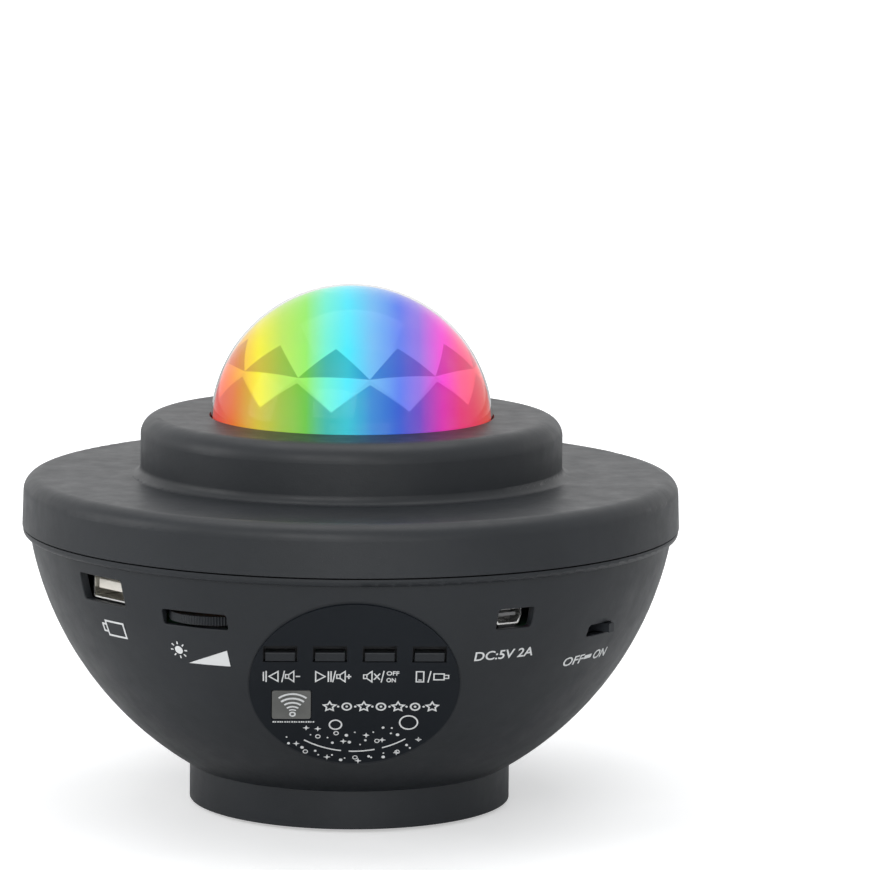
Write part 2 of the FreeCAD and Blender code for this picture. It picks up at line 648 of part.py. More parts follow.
def drive_pinion():
    wheel = gear(PINION_TEETH, DISC_Z, GEAR_THICK, 270.0 + 180.0 / PINION_TEETH)
    shaft = rod(MOTOR_SHAFT_R, MOTOR_TOP_Z + 0.2, DISC_Z + GEAR_THICK + 0.8)
    collar = rod(2 * MOTOR_SHAFT_R, DISC_Z - 1.2, DISC_Z)
    whole = wheel.fuse(shaft).fuse(collar)
    whole.translate(V(0, GEAR_CENTRES, 0))
    return whole


def drive_motor():
    can = rod(MOTOR_R, DECK_TOP_Z, MOTOR_TOP_Z - 1.5)
    nose = rod(MOTOR_R * 0.45, MOTOR_TOP_Z - 1.6, MOTOR_TOP_Z)
    whole = can.fuse(nose)
    whole.translate(V(0, GEAR_CENTRES, 0))
    return whole


def motor_clamp():
    inner = MOTOR_R + SCREW_CLEARANCE
    cup = tube(inner, inner + CLAMP_WALL, DECK_TOP_Z, DECK_TOP_Z + CLAMP_HEIGHT)
    cup.translate(V(0, GEAR_CENTRES, 0))
    return cup


def disc_spindle():
    shoulder = rod(LED_RING_R - LENS_R - 0.3, HOLDER_TOP_Z, WASHER_Z)
    stem = rod(SPINDLE_R, HOLDER_TOP_Z, SPINDLE_TOP_Z)
    return shoulder.fuse(stem).cut(rod(SPINDLE_BORE_R, HOLDER_TOP_Z, SPINDLE_TOP_Z))


def thrust_washer():
    return tube(SPINDLE_R + SCREW_CLEARANCE, HUB_R, WASHER_Z, WASHER_Z + WASHER_THICK)


def light_deck():
    plate = rod(DECK_R, DECK_Z, DECK_TOP_Z)
    arm = front_box(DECK_EAR_WIDTH, DECK_THICK, DECK_Z + DECK_THICK / 2, DECK_R - 5, DECK_EAR_R)
    tip = rod(DECK_EAR_WIDTH / 2, DECK_Z, DECK_TOP_Z, y=-DECK_EAR_R)
    hole = rod(SCREW_R + 0.2, DECK_Z, DECK_TOP_Z, y=-DECK_EAR_R)
    whole = fused([plate] + [around(arm.fuse(tip), azimuth) for azimuth in deck_azimuths()])
    cuts = [around(hole, azimuth) for azimuth in deck_azimuths()]
    return whole.cut(cuts + [rod(LED_BOARD_R + 0.3, DECK_Z, DECK_TOP_Z)])


def heat_sink():
    base = rod(SINK_R, DECK_Z - SINK_BASE, DECK_Z)
    fins = []
    for index in range(FIN_COUNT):
        x = FIN_PITCH * (index - (FIN_COUNT - 1) / 2)
        length = 2 * math.sqrt(SINK_R ** 2 - (abs(x) + FIN_THICK / 2) ** 2)
        fins.append(Part.makeBox(FIN_THICK, length, FIN_HEIGHT + 0.2,
                                 V(x - FIN_THICK / 2, -length / 2, DECK_Z - SINK_BASE - FIN_HEIGHT)))
    return fused([base] + fins).cut(rod(LASER_R + 0.5, DECK_Z - SINK_BASE - FIN_HEIGHT, DECK_Z))


def led_board():
    board = rod(LED_BOARD_R, DECK_Z, LED_BOARD_TOP_Z)
    return board.cut(rod(LASER_R + 0.5, DECK_Z, LED_BOARD_TOP_Z))


def led():
    chip = front_box(LED_SIDE, LED_THICK, LED_BOARD_TOP_Z + LED_THICK / 2,
                     LED_RING_R - LED_SIDE / 2, LED_RING_R + LED_SIDE / 2)
    bead = Part.makeSphere(LED_LENS_R, V(0, -LED_RING_R, LED_BOARD_TOP_Z + LED_THICK - 0.3))
    bead = bead.common(rod(LED_LENS_R + 1, LED_BOARD_TOP_Z + LED_THICK / 2, DECK_TOP_Z + 9, y=-LED_RING_R))
    return chip.fuse(bead)


def lens_holder():
    body = rod(HOLDER_R, DECK_TOP_Z, HOLDER_TOP_Z)
    bore = rod(LENS_R, DECK_TOP_Z, HOLDER_TOP_Z, y=-LED_RING_R)
    ledge = tube(LENS_R - 0.8, LENS_R + 0.2, HOLDER_TOP_Z - LENS_THICK - 2, HOLDER_TOP_Z - LENS_THICK - 1)
    ledge.translate(V(0, -LED_RING_R, 0))
    body = body.cut(ring_of(bore, LED_COUNT, 45.0))
    body = body.fuse(ring_of(ledge, LED_COUNT, 45.0)).removeSplitter()
    return body.cut(rod(LASER_R + SCREW_CLEARANCE, DECK_TOP_Z, HOLDER_TOP_Z))


def condenser_lens():
    """Flat below, crowned above."""
    base_z = HOLDER_TOP_Z - LENS_THICK - 1
    radius = LENS_R - SCREW_CLEARANCE
    crown_r = 1.35 * radius
    drop = math.sqrt(crown_r ** 2 - radius ** 2)
    cap = Part.makeSphere(crown_r, V(0, -LED_RING_R, base_z + LENS_THICK - crown_r))
    return cap.common(rod(radius, base_z, base_z + LENS_THICK + drop, y=-LED_RING_R))


def laser_module():
    barrel = rod(LASER_R, HOLDER_TOP_Z - LASER_LENGTH, HOLDER_TOP_Z)
    return barrel.cut(rod(LASER_LENS_R + 0.05, HOLDER_TOP_Z - 6, HOLDER_TOP_Z))


def laser_lens():
    return rod(LASER_LENS_R, HOLDER_TOP_Z - 4, HOLDER_TOP_Z - 2)


def main_board():
    outer_r = board_radius()
    board = tube(outer_r - BOARD_WIDTH, outer_r, BOARD_Z, BOARD_TOP_Z)
    sector = Part.makeCylinder(outer_r + 5, BOARD_THICK, V(0, 0, BOARD_Z), V(0, 0, 1), 2 * BOARD_SPAN)
    sector.rotate(V(0, 0, 0), V(0, 0, 1), -90 - BOARD_SPAN)
    board = board.common(sector)
    hole = rod(SCREW_R + 0.2, BOARD_Z, BOARD_TOP_Z, y=-board_post_radius())
    knob_back, knob_front = knob_radii()
    notch = front_box(KNOB_PLATE[0] + KNOB_TRAVEL + 1, BOARD_THICK, BOARD_Z + BOARD_THICK / 2,
                      knob_back - 0.5, outer_r + 5)
    cuts = [around(hole, azimuth) for azimuth in BOARD_POST_AZ]
    cuts.append(panel_disc(FACET_R + CUT_PAST, WALL + BOARD_GAP, 2 * FACET_DEPTH))
    return board.cut(cuts + [around(notch, SWITCH_AZ)])


def board_chips():
    chips = []
    inner_r = board_radius() - BOARD_WIDTH
    for azimuth, in_from, width, depth, height in ((0.0, 10.0, 9.0, 9.0, 1.6), (-14.0, 13.0, 6.0, 5.0, 1.4),
                                                   (15.0, 13.0, 7.0, 5.0, 1.4), (38.0, 5.0, 5.0, 5.0, 4.5),
                                                   (-38.0, 4.5, 4.5, 4.5, 5.5)):
        radial = inner_r + in_from
        chip = front_box(width, height, BOARD_TOP_Z + height / 2, radial - depth / 2, radial + depth / 2)
        chips.append(around(chip, azimuth))
    return chips


def socket_block(shell, taper, z, near, far, inset, corner):
    """Block with a socket's outline, inset all round. A taper narrows its lower half on both sides."""
    half, top, low = shell[0] / 2 - inset, shell[1] / 2 - inset, inset - shell[1] / 2
    outline = [(-half, top), (half, top), (half, 0), (half - taper, low), (taper - half, low), (-half, 0)]
    if taper == 0:
        outline = [(-half, top), (half, top), (half, low), (-half, low)]
    face = polygon([V(x, -near, z + height) for x, height in outline])
    block = face.extrude(V(0, near - far, 0))
    along = [edge for edge in block.Edges if abs(edge.tangentAt(edge.FirstParameter).y) > 0.9]
    return block.makeFillet(corner, along)


def socket(azimuth, z, shell, depth, inset, tongue, taper):
    """Metal shell, insulator with its contact tongue, and stand of a socket: returned as three shapes."""
    face_r = math.sqrt(bowl_radius(z) ** 2 - (shell[0] / 2) ** 2) - inset
    back_r = face_r - depth
    outer = socket_block(shell, taper, z, back_r, face_r, 0, 0.5)
    inner = socket_block(shell, taper, z, back_r + SHELL_WALL, face_r + 1, SHELL_WALL, 0.3)
    metal = outer.cut(inner)
    back = socket_block(shell, taper, z, back_r + SHELL_WALL + 0.05, back_r + 3, SHELL_WALL + 0.05, 0.3)
    tongue_z = z + shell[1] / 2 - SHELL_WALL - 0.9 - tongue / 2
    plate = front_box(shell[0] - 2.4, tongue, tongue_z, back_r + 2.5, face_r - TONGUE_INSET)
    stand_height = z - shell[1] / 2 - BOARD_TOP_Z
    stand_front = math.sqrt(bowl_radius(BOARD_TOP_Z, WALL) ** 2 - (shell[0] / 2) ** 2) - BOARD_GAP
    stand_width = shell[0] - 2 * taper - 1
    stand = front_box(stand_width, stand_height, BOARD_TOP_Z + stand_height / 2, back_r,
                      min(stand_front, face_r))
    return around(metal, azimuth), around(back.fuse(plate), azimuth), around(stand, azimuth)


def ribbed_wheel(radius, thick, ribs, depth):
    points = []
    for index in range(ribs):
        for step, r in ((0.0, radius), (0.5, radius - depth)):
            angle = 2 * math.pi * (index + step) / ribs
            points.append(V(r * math.cos(angle), r * math.sin(angle), 0))
    return polygon(points).extrude(V(0, 0, thick))


def brightness_dial():
    wheel = ribbed_wheel(DIAL_R, DIAL_THICK, DIAL_RIBS, DIAL_RIB_DEPTH)
    wheel.translate(V(0, -dial_centre_radius(), DIAL_Z - DIAL_THICK / 2))
    bore = rod(DIAL_BORE_R + RUNNING_CLEARANCE, DIAL_Z - DIAL_THICK, DIAL_Z + DIAL_THICK,
               y=-dial_centre_radius())
    return around(wheel.cut(bore), DIAL_AZ)


def dial_resistor():
    base = rod(POT_R, POT_Z, POT_Z + POT_HEIGHT, y=-dial_centre_radius())
    stem = rod(DIAL_BORE_R, POT_Z, DIAL_Z + DIAL_THICK / 2 + 0.3, y=-dial_centre_radius())
    cap = rod(DIAL_BORE_R + 1.6, DIAL_Z + DIAL_THICK / 2 + 0.2, DIAL_Z + DIAL_THICK / 2 + 0.8,
              y=-dial_centre_radius())
    return around(fused([base, stem, cap]), DIAL_AZ)


def key_flange_front():
    """How far out the flange's front is: just inside the panel's wall at the flange's lower edge."""
    low_z = KEY_SLOT_Z - KEY_SLOT[1] / 2 - 0.6
    return panel_front(low_z, WALL) - 0.3


def key(x):
    width = KEY_SLOT[0] - 2 * KEY_SIDE_GAP
    low = KEY_SLOT_Z - KEY_SLOT[1] / 2 + KEY_LOW_GAP
    high = KEY_SLOT_Z + KEY_SLOT[1] / 2 - KEY_TOP_GAP
    front = key_flange_front()
    stem = front_box(width, high - low, (high + low) / 2, front - KEY_FLANGE, RIM_R, x)
    stem = stem.common(panel_disc(FACET_R + FACET_SPARE, BOWL_ARC_R / 2, KEY_PROUD))
    face_edges = [edge for edge in stem.Edges
                  if all(abs(panel_lift(vertex.Point) - KEY_PROUD) < 0.01 for vertex in edge.Vertexes)]
    stem = stem.makeFillet(KEY_EDGE, face_edges)
    flange = front_box(KEY_SLOT[0] + 1.0, KEY_SLOT[1] + 0.9, KEY_SLOT_Z - 0.15, front - KEY_FLANGE, front, x)
    return stem.fuse(flange).removeSplitter()


def key_switch(x):
    back = key_flange_front() - KEY_FLANGE - KEY_TRAVEL - 0.2
    height = BOARD_Z - (KEY_SLOT_Z - 2.2)
    body = front_box(6.0, height, BOARD_Z - height / 2, back - 4.6, back - 1.0, x)
    button = front_box(3.0, 1.8, KEY_SLOT_Z - 0.4, back - 1.2, back, x)
    return body.fuse(button)


def knob_radii():
    """Radii of the back and front of the slide switch's masking plate."""
    low_z = SWITCH_Z - KNOB_PLATE[1] / 2
    half = KNOB_PLATE[0] / 2 + KNOB_TRAVEL / 2
    front = math.sqrt(bowl_radius(low_z, WALL) ** 2 - half ** 2) - 0.3
    return front - 1.0, front


def switch_knob():
    back, front = knob_radii()
    rest = KNOB_TRAVEL / 2
    height = SWITCH_SLOT[1] - 2 * KNOB_GAP
    stem = front_box(KNOB_WIDTH, height, SWITCH_Z, back, bowl_radius(SWITCH_Z) + KNOB_PROUD, rest)
    plate = front_box(*KNOB_PLATE, SWITCH_Z, back, front, rest)
    lever = front_box(2.0, 2.0, BOARD_Z - 2.2, back - 1.8, back + 0.2, rest)
    return around(fused([stem, plate, lever]), SWITCH_AZ)


def power_switch():
    back, front = knob_radii()
    far = back - 2.0
    body = front_box(SWITCH_BODY[0], 3.8, BOARD_Z - 1.9, far - SWITCH_BODY[1], far)
    return around(body, SWITCH_AZ)


def panel_overlay():
    """Printed film on the panel, open round the keys and the window."""
    film = panel_disc(FACET_R - PANEL_EDGE, -PANEL_SEAT, PANEL_FRONT)
    return film.cut(key_slots(0.1) + [window_block(WINDOW_GAP + 0.1, 1.0, 1.0)])


def remote_window():
    return window_block(0.0, WALL + WINDOW_BEHIND, PANEL_FRONT)


def remote_receiver():
    x = WINDOW_PLACE[0]
    low_z = PANEL_Z - 6.0
    body_front = panel_front(low_z + 1.0, WALL + WINDOW_BEHIND) - RECEIVER_GAP
    board_y = 3.0 - body_front
    board = Part.makeBox(9.0, 1.4, BOARD_Z - low_z, V(x - 4.5, board_y, low_z))
    body = Part.makeBox(5.0, 3.0, 6.5, V(x - 2.5, board_y - 3.0, low_z + 1.0))
    bead = Part.makeSphere(2.0, V(x, board_y - 3.0, low_z + 4.5))
    return board, body.fuse(bead)


def base_plate():
    plate = rod(FOOT_R - FOOT_WALL - PLATE_GAP, PLATE_Z, PLATE_TOP_Z)
    fence = tube(SPEAKER_R + 0.2, SPEAKER_R + 1.8, PLATE_TOP_Z, PLATE_TOP_Z + 3)
    plate = plate.fuse(fence)
    cuts = []
    hole = rod(SCREW_R + 0.2, PLATE_Z, PLATE_TOP_Z, y=-PLATE_SCREW_R)
    head = rod(SCREW_HEAD_R + 0.3, PLATE_Z, PLATE_Z + SCREW_HEAD_HEIGHT, y=-PLATE_SCREW_R)
    cuts += ring_of(hole, PLATE_SCREWS) + ring_of(head, PLATE_SCREWS)
    cuts += ring_of(rod(PAD_R + 0.1, PLATE_Z, PLATE_Z + PAD_RECESS, y=-PAD_RING_R), PADS, 45.0)
    cuts.append(rod(GRILLE_HOLE_R, PLATE_Z, PLATE_TOP_Z))
    for ring in range(1, GRILLE_RING_COUNT + 1):
        cuts += ring_of(rod(GRILLE_HOLE_R, PLATE_Z, PLATE_TOP_Z, y=-GRILLE_PITCH * ring), 6 * ring)
    return plate.cut(cuts)


def speaker_frame():
    """Basket: a lip that sits on the base plate and a tapering wall up to the magnet."""
    waist_z = PLATE_TOP_Z + SPEAKER_HEIGHT - MAGNET_HEIGHT
    return turned([(SPEAKER_R - 3.5, PLATE_TOP_Z), (SPEAKER_R, PLATE_TOP_Z),
                   (SPEAKER_R, PLATE_TOP_Z + SPEAKER_LIP), (SPEAKER_R - 2.0, PLATE_TOP_Z + SPEAKER_LIP),
                   (MAGNET_R, waist_z), (5.0, waist_z), (5.0, waist_z - 1.0),
                   (MAGNET_R - 1.0, waist_z - 1.0),
                   (SPEAKER_R - 3.5, PLATE_TOP_Z + SPEAKER_LIP)])


def speaker_cone():
    low = PLATE_TOP_Z + 2.2
    return turned([(0, low + 2.6), (4.5, low + 2.6), (SPEAKER_R - 5.2, low), (SPEAKER_R - 4.9, low + 0.6),
                   (4.4, low + 3.4), (0, low + 3.4)])


def speaker_magnet():
    waist_z = PLATE_TOP_Z + SPEAKER_HEIGHT - MAGNET_HEIGHT
    return rod(MAGNET_R - 0.5, waist_z, waist_z + MAGNET_HEIGHT)


def sockets():
    usb = socket(USB_AZ, USB_Z, USB_SHELL, USB_DEPTH, USB_INSET, USB_TONGUE, 0)
    dc = socket(DC_AZ, DC_Z, DC_SHELL, DC_DEPTH, DC_INSET, DC_TONGUE, DC_TAPER)
    nodes = {}
    for name, (metal, insulator, stand) in (("media_socket", usb), ("power_socket", dc)):
        nodes[name + "_shell"] = [metal]
        nodes[name + "_contacts"] = [insulator]
        nodes[name + "_stand"] = [stand]
    return nodes


def screws():
    cover = screw(COVER_SCREW_HEAD_Z, ROOF_Z - 3, COVER_SCREW_R)
    plate = screw(PLATE_Z + SCREW_HEAD_HEIGHT, PLATE_TOP_Z + BOSS_HEIGHT - 2.5, PLATE_SCREW_R)
    deck = screw(DECK_Z, DECK_TOP_Z + 7, DECK_EAR_R)
    ring = screw(RING_Z, COLLAR_TOP_Z - 1.2, RING_SCREW_R)
    board = screw(BOARD_TOP_Z, BOARD_Z - 7, board_post_radius(), up=False)
    return {"cover_screws": [around(cover, azimuth) for azimuth in COVER_SCREW_AZ],
            "plate_screws": ring_of(plate, PLATE_SCREWS),
            "deck_screws": [around(deck, azimuth) for azimuth in deck_azimuths()],
            "dome_ring_screws": ring_of(ring, RING_SCREWS, 45.0),
            "board_screws": [around(board, azimuth) for azimuth in BOARD_POST_AZ]}


def all_nodes():
    receiver_board, receiver_eye = remote_receiver()
    nodes = {
        "bowl_housing": [bowl_housing()],
        "top_cover": [top_cover()],
        "dome_collar": [dome_collar()],
        "base_plate": [base_plate()],
        "rubber_feet": ring_of(rod(PAD_R, 0, PLATE_Z + PAD_RECESS, y=-PAD_RING_R), PADS, 45.0),
        "dome_lens": [dome_lens()],
        "dome_ring": [dome_ring()],
        "wave_disc": [wave_disc()],
        "grating_disc": [rod(GRATING_R, GRATING_Z, GRATING_Z + GRATING_THICK)],
        "drive_pinion": [drive_pinion()],
        "drive_motor": [drive_motor()],
        "motor_clamp": [motor_clamp()],
        "disc_spindle": [disc_spindle()],
        "thrust_washer": [thrust_washer()],
        "light_deck": [light_deck()],
        "heat_sink": [heat_sink()],
        "led_board": [led_board()],
        "leds": ring_of(led(), LED_COUNT, 45.0),
        "lens_holder": [lens_holder()],
        "condenser_lenses": ring_of(condenser_lens(), LED_COUNT, 45.0),
        "laser_module": [laser_module()],
        "laser_lens": [laser_lens()],
        "main_board": [main_board()],
        "board_chips": board_chips(),
        "brightness_dial": [brightness_dial()],
        "dial_resistor": [dial_resistor()],
        "key_switches": [key_switch(x) for x in key_places()],
        "switch_knob": [switch_knob()],
        "power_switch": [power_switch()],
        "panel_overlay": [panel_overlay()],
        "remote_window": [remote_window()],
        "receiver_board": [receiver_board],
        "receiver_eye": [receiver_eye],
        "speaker_frame": [speaker_frame()],
        "speaker_cone": [speaker_cone()],
        "speaker_magnet": [speaker_magnet()],
    }
    for name, x in zip(KEY_NAMES, key_places()):
        nodes[name] = [key(x)]
    nodes.update(sockets())
    nodes.update(screws())
    return nodes


def write_parts():
    os.makedirs("parts", exist_ok=True)
    for name, solids in all_nodes().items():
        flat = [solid for shape in solids for solid in shape.Solids]
        shape = flat[0] if len(flat) == 1 else Part.makeCompound(flat)
        valid = all(solid.isValid() and solid.Volume > 0 for solid in flat)
        state = "ok" if valid else "INVALID"
        print(f"{name:24s} solids {len(flat):2d}  volume {shape.Volume:10.1f}  {state}")
        shape.exportStep(f"parts/{name}.step")


write_parts()
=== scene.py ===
"""Looks of the star night light projector: dark satin saucer, lit faceted dome, printed controls.

Everything is in metres in the row frame: +Z up, the control panel faces -Y, azimuths count from the
front, positive towards +X. MM turns millimetres into metres.
"""
import bpy
import bmesh
import math
from mathutils import Matrix, Vector


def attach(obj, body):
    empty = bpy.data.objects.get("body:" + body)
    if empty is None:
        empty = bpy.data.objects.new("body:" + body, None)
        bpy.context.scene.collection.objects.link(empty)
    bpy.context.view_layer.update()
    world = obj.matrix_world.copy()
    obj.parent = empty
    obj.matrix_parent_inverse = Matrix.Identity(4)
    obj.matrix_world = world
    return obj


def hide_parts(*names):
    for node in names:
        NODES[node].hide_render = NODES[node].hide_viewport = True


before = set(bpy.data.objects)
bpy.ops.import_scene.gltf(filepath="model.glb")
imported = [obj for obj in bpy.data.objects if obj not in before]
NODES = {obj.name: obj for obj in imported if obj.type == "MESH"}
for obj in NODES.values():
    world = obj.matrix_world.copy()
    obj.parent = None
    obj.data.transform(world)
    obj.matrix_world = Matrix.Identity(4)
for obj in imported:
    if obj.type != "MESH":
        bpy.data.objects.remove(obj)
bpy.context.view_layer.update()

MM = 0.001

# The bowl's outside is an arc turned about Z
BOWL_ARC_R = 86.5
BOWL_ARC_CENTRE_R = -2.565
BOWL_ARC_CENTRE_Z = 85.155

# The flat panel: how far out and how high its middle is, and its tilt
PANEL_OUT = 68.472
PANEL_MIDDLE_Z = 43.627
PANEL_TILT = 0.529

# Camera: where it stands, where it looks and its lens, worked out from the photograph
FRAME_PX = 870
CAMERA_DISTANCE = 1.2
CAMERA_HEIGHT = 0.2678
CAMERA_AZIMUTH = -0.9
CAMERA_PITCH = 8.17
CAMERA_YAW = 1.024
CAMERA_ROLL = 0.54
FOCAL_PX = 4706
SENSOR = 36.0

# Printed marks stand this far off what carries them, and are this thick
PRINT_LIFT = 0.05
PRINT_THICK = 0.06
PANEL_FILM = 0.37
DOT_SIDES = 14
CURVE_CELL = 1.5
CELL_SHIFT = 0.0137

# Dome: a smooth clear shell over a lit many-sided core
DOME_Z = 97.9
DOME_FOOT_Z = 98.5
SHELL_R = 36.4
SHELL_WALL = 0.3
CORE_R = 35.95
CORE_ROUNDNESS = 0.94
CORE_FOOT_Z = 97.0
FACETS = 11
FACET_TURN = 7.0
CAP_LATITUDE = 75.0
UPPER_LATITUDE = 40.0
GIRDLE_LATITUDE = 26.4
SLIVER = 2.2
LOWER_LATITUDE = 12.9
DOME_GLOW = 1.0

# Painted shade of each kind of face of the core: its tone runs from 1 where the face is drawn fully lit to 0
# where it is drawn in full shade
LIT_FACE = 1.0
UPPER_TONE = 0.93
KITE_TONE = 0.98
SLIVER_TONE = 0.8
LOWER_TONE = 0.04
SHADED_FACE = 0.0

# Fineness of the dome's meshes, and how near the core's tip comes to its sphere
SHELL_STEPS = 40
SHELL_SIDES = 96
CORE_CUTS = 6
CORE_TIP = 0.995

WHITE = (1.0, 1.0, 1.0, 1.0)
NOTHING = (0.0, 0.0, 0.0, 1.0)

# Scales of the noise in plastic: slow tone, slow gloss, specks of dust and the patches they lie in
TONE_SCALE = 28.0
GLOSS_SCALE = 160.0
SPECK_SCALE = 900.0
PATCH_SCALE = 75.0

WORLD_LIGHT = 0.45
FLOOR_WASH = 0.46
FLOOR_FADE = (0.3, 1.5)

# Bands of the dome's light: place across it in mm, then the colour of its lit faces and of its faces in
# painted shade
DOME_BANDS = (
    (-34.0, (255, 85, 60), (225, 70, 55)),
    (-30.5, (255, 150, 60), (226, 110, 45)),
    (-24.0, (250, 240, 40), (205, 185, 30)),
    (-18.0, (190, 235, 90), (150, 190, 50)),
    (-12.0, (150, 240, 100), (100, 195, 60)),
    (-6.9, (110, 245, 215), (50, 180, 170)),
    (-1.5, (70, 235, 255), (20, 190, 210)),
    (4.5, (110, 190, 245), (30, 130, 210)),
    (11.5, (90, 125, 240), (40, 85, 205)),
    (16.5, (150, 115, 230), (110, 70, 195)),
    (22.5, (250, 70, 215), (215, 35, 170)),
    (27.0, (255, 90, 150), (225, 50, 120)),
    (34.0, (255, 75, 55), (222, 60, 50)),
)


def srgb(r, g, b):
    """Colour written in 0 to 255 as seen, turned into the linear values that shaders take."""
    channels = []
    for value in (r, g, b):
        share = value / 255
        channels.append(share / 12.92 if share <= 0.04045 else ((share + 0.055) / 1.055) ** 2.4)
    return (*channels, 1.0)


class Shader:
    """Small helper that builds one node material around a Principled shader."""

    def __init__(self, name, **sockets):
        self.material = bpy.data.materials.new(name)
        self.material.use_nodes = True
        self.tree = self.material.node_tree
        self.tree.nodes.clear()
        self.output = self.tree.nodes.new("ShaderNodeOutputMaterial")
        self.main = self.tree.nodes.new("ShaderNodeBsdfPrincipled")
        self.link(self.main.outputs[0], self.output.inputs["Surface"])
        for key, value in sockets.items():
            self.main.inputs[key.replace("_", " ")].default_value = value

    def node(self, kind, **settings):
        """New node, with its inputs or its own settings filled in."""
        made = self.tree.nodes.new("ShaderNode" + kind)
        for key, value in settings.items():
            if key in made.inputs:
                made.inputs[key].default_value = value
            else:
                setattr(made, key, value)
        return made

    def link(self, source, target):
        self.tree.links.new(source, target)

    def object_place(self):
        return self.node("TexCoord").outputs["Object"]

    def noise(self, scale, detail=2.0, roughness=0.5):
        made = self.node("TexNoise", Scale=scale, Detail=detail, Roughness=roughness)
        self.link(self.object_place(), made.inputs["Vector"])
        return made.outputs["Fac"]

    def ramp(self, source, stops):
        """Colour ramp from (position, colour) stops, fed by a value."""
        made = self.node("ValToRGB")
        elements = made.color_ramp.elements
        while len(elements) < len(stops):
            elements.new(0.5)
        for element, (position, colour) in zip(elements, stops):
            element.position = position
            element.color = colour
        self.link(source, made.inputs["Fac"])
        return made.outputs["Color"]

    def span(self, source, low, high, to_low, to_high):
        """Value carried over from one range to another."""
        made = self.node("MapRange")
        for name, value in (("From Min", low), ("From Max", high), ("To Min", to_low), ("To Max", to_high)):
            made.inputs[name].default_value = value
        self.link(source, made.inputs["Value"])
        return made.outputs["Result"]

    def bump(self, height, strength, distance, before=None):
        """Normal tipped by a height, on top of an earlier normal where there is one."""
        made = self.node("Bump", Strength=strength, Distance=distance)
        self.link(height, made.inputs["Height"])
        if before is not None:
            self.link(before, made.inputs["Normal"])
        return made.outputs["Normal"]


def plastic(name, base, tint, roughness, grain, depth, specular=0.3, dust=0.0):
    """Moulded plastic: fine grain in the bump, slow change of tone and gloss, and a little dust."""
    made = Shader(name, Specular_IOR_Level=specular)
    tone = made.ramp(made.noise(TONE_SCALE, 4.0, 0.6), [(0.3, base), (0.7, tint)])
    if dust:
        specks = made.node("TexVoronoi", Scale=SPECK_SCALE, Randomness=1.0)
        made.link(made.object_place(), specks.inputs["Vector"])
        spots = made.ramp(specks.outputs["Distance"], [(0.0, (dust, dust, dust, 1.0)), (0.09, NOTHING)])
        few = made.ramp(made.noise(PATCH_SCALE, 2.0), [(0.56, NOTHING), (0.66, WHITE)])
        both = made.node("MixRGB", blend_type="MULTIPLY", Fac=1.0)
        made.link(spots, both.inputs["Color1"])
        made.link(few, both.inputs["Color2"])
        dusty = made.node("MixRGB", blend_type="ADD", Fac=1.0)
        made.link(tone, dusty.inputs["Color1"])
        made.link(both.outputs["Color"], dusty.inputs["Color2"])
        tone = dusty.outputs["Color"]
    made.link(tone, made.main.inputs["Base Color"])
    made.link(made.span(made.noise(GLOSS_SCALE, 3.0, 0.6), 0.3, 0.7, roughness - 0.04, roughness + 0.05),
              made.main.inputs["Roughness"])
    fine = made.bump(made.noise(grain, 2.0, 0.55), 0.5, depth)
    made.link(made.bump(made.noise(grain * 0.12, 2.0), 0.25, depth * 3, fine), made.main.inputs["Normal"])
    return made.material


def metal(name, base, tint, roughness, brushed=1.0):
    """Plated or cast metal with faint scratches, brushed along X where that is over 1."""
    made = Shader(name, Metallic=1.0)
    made.link(made.ramp(made.noise(90.0, 4.0), [(0.3, base), (0.7, tint)]), made.main.inputs["Base Color"])
    stretch = made.node("Mapping", vector_type="POINT")
    stretch.inputs["Scale"].default_value = (1.0, brushed, brushed)
    made.link(made.object_place(), stretch.inputs["Vector"])
    lines = made.node("TexNoise", Scale=700.0, Detail=4.0)
    made.link(stretch.outputs["Vector"], lines.inputs["Vector"])
    made.link(made.span(lines.outputs["Fac"], 0.3, 0.7, roughness - 0.06, roughness + 0.08),
              made.main.inputs["Roughness"])
    made.link(made.bump(lines.outputs["Fac"], 0.3, 0.00001), made.main.inputs["Normal"])
    return made.material


def clear(name, roughness, ior):
    """Clear plastic with a barely wavy surface."""
    made = Shader(name, Base_Color=WHITE, IOR=ior, Transmission_Weight=1.0)
    made.link(made.span(made.noise(220.0, 2.0), 0.3, 0.7, roughness, roughness + 0.03),
              made.main.inputs["Roughness"])
    made.link(made.bump(made.noise(60.0, 1.0), 0.05, 0.00002), made.main.inputs["Normal"])
    return made.material


def glowing_dome(name):
    """Lit facets: bands of colour run across the dome, and each face is painted lit or shaded as its tone
    says.
    """
    made = Shader(name, Roughness=0.5, Specular_IOR_Level=0.0)
    across = made.node("SeparateXYZ")
    made.link(made.object_place(), across.inputs["Vector"])
    reach = DOME_BANDS[-1][0]
    share = made.span(across.outputs["X"], -reach * MM, reach * MM, 0.0, 1.0)
    shades = []
    for index in (1, 2):
        stops = [(0.5 + band[0] / reach / 2, srgb(*band[index])) for band in DOME_BANDS]
        shades.append(made.ramp(share, stops))
    tone = made.node("Attribute", attribute_name="tone")
    mix = made.node("MixRGB")
    made.link(tone.outputs["Fac"], mix.inputs["Fac"])
    made.link(shades[1], mix.inputs["Color1"])
    made.link(shades[0], mix.inputs["Color2"])
    pale = made.node("MixRGB", Color2=WHITE)
    made.link(mix.outputs["Color"], pale.inputs["Color1"])
    made.link(made.span(made.noise(70.0, 3.0), 0.35, 0.75, 0.0, 0.05), pale.inputs["Fac"])
    made.link(pale.outputs["Color"], made.main.inputs["Emission Color"])
    made.main.inputs["Base Color"].default_value = (0.015, 0.015, 0.015, 1.0)
    made.main.inputs["Emission Strength"].default_value = DOME_GLOW
    return made.material


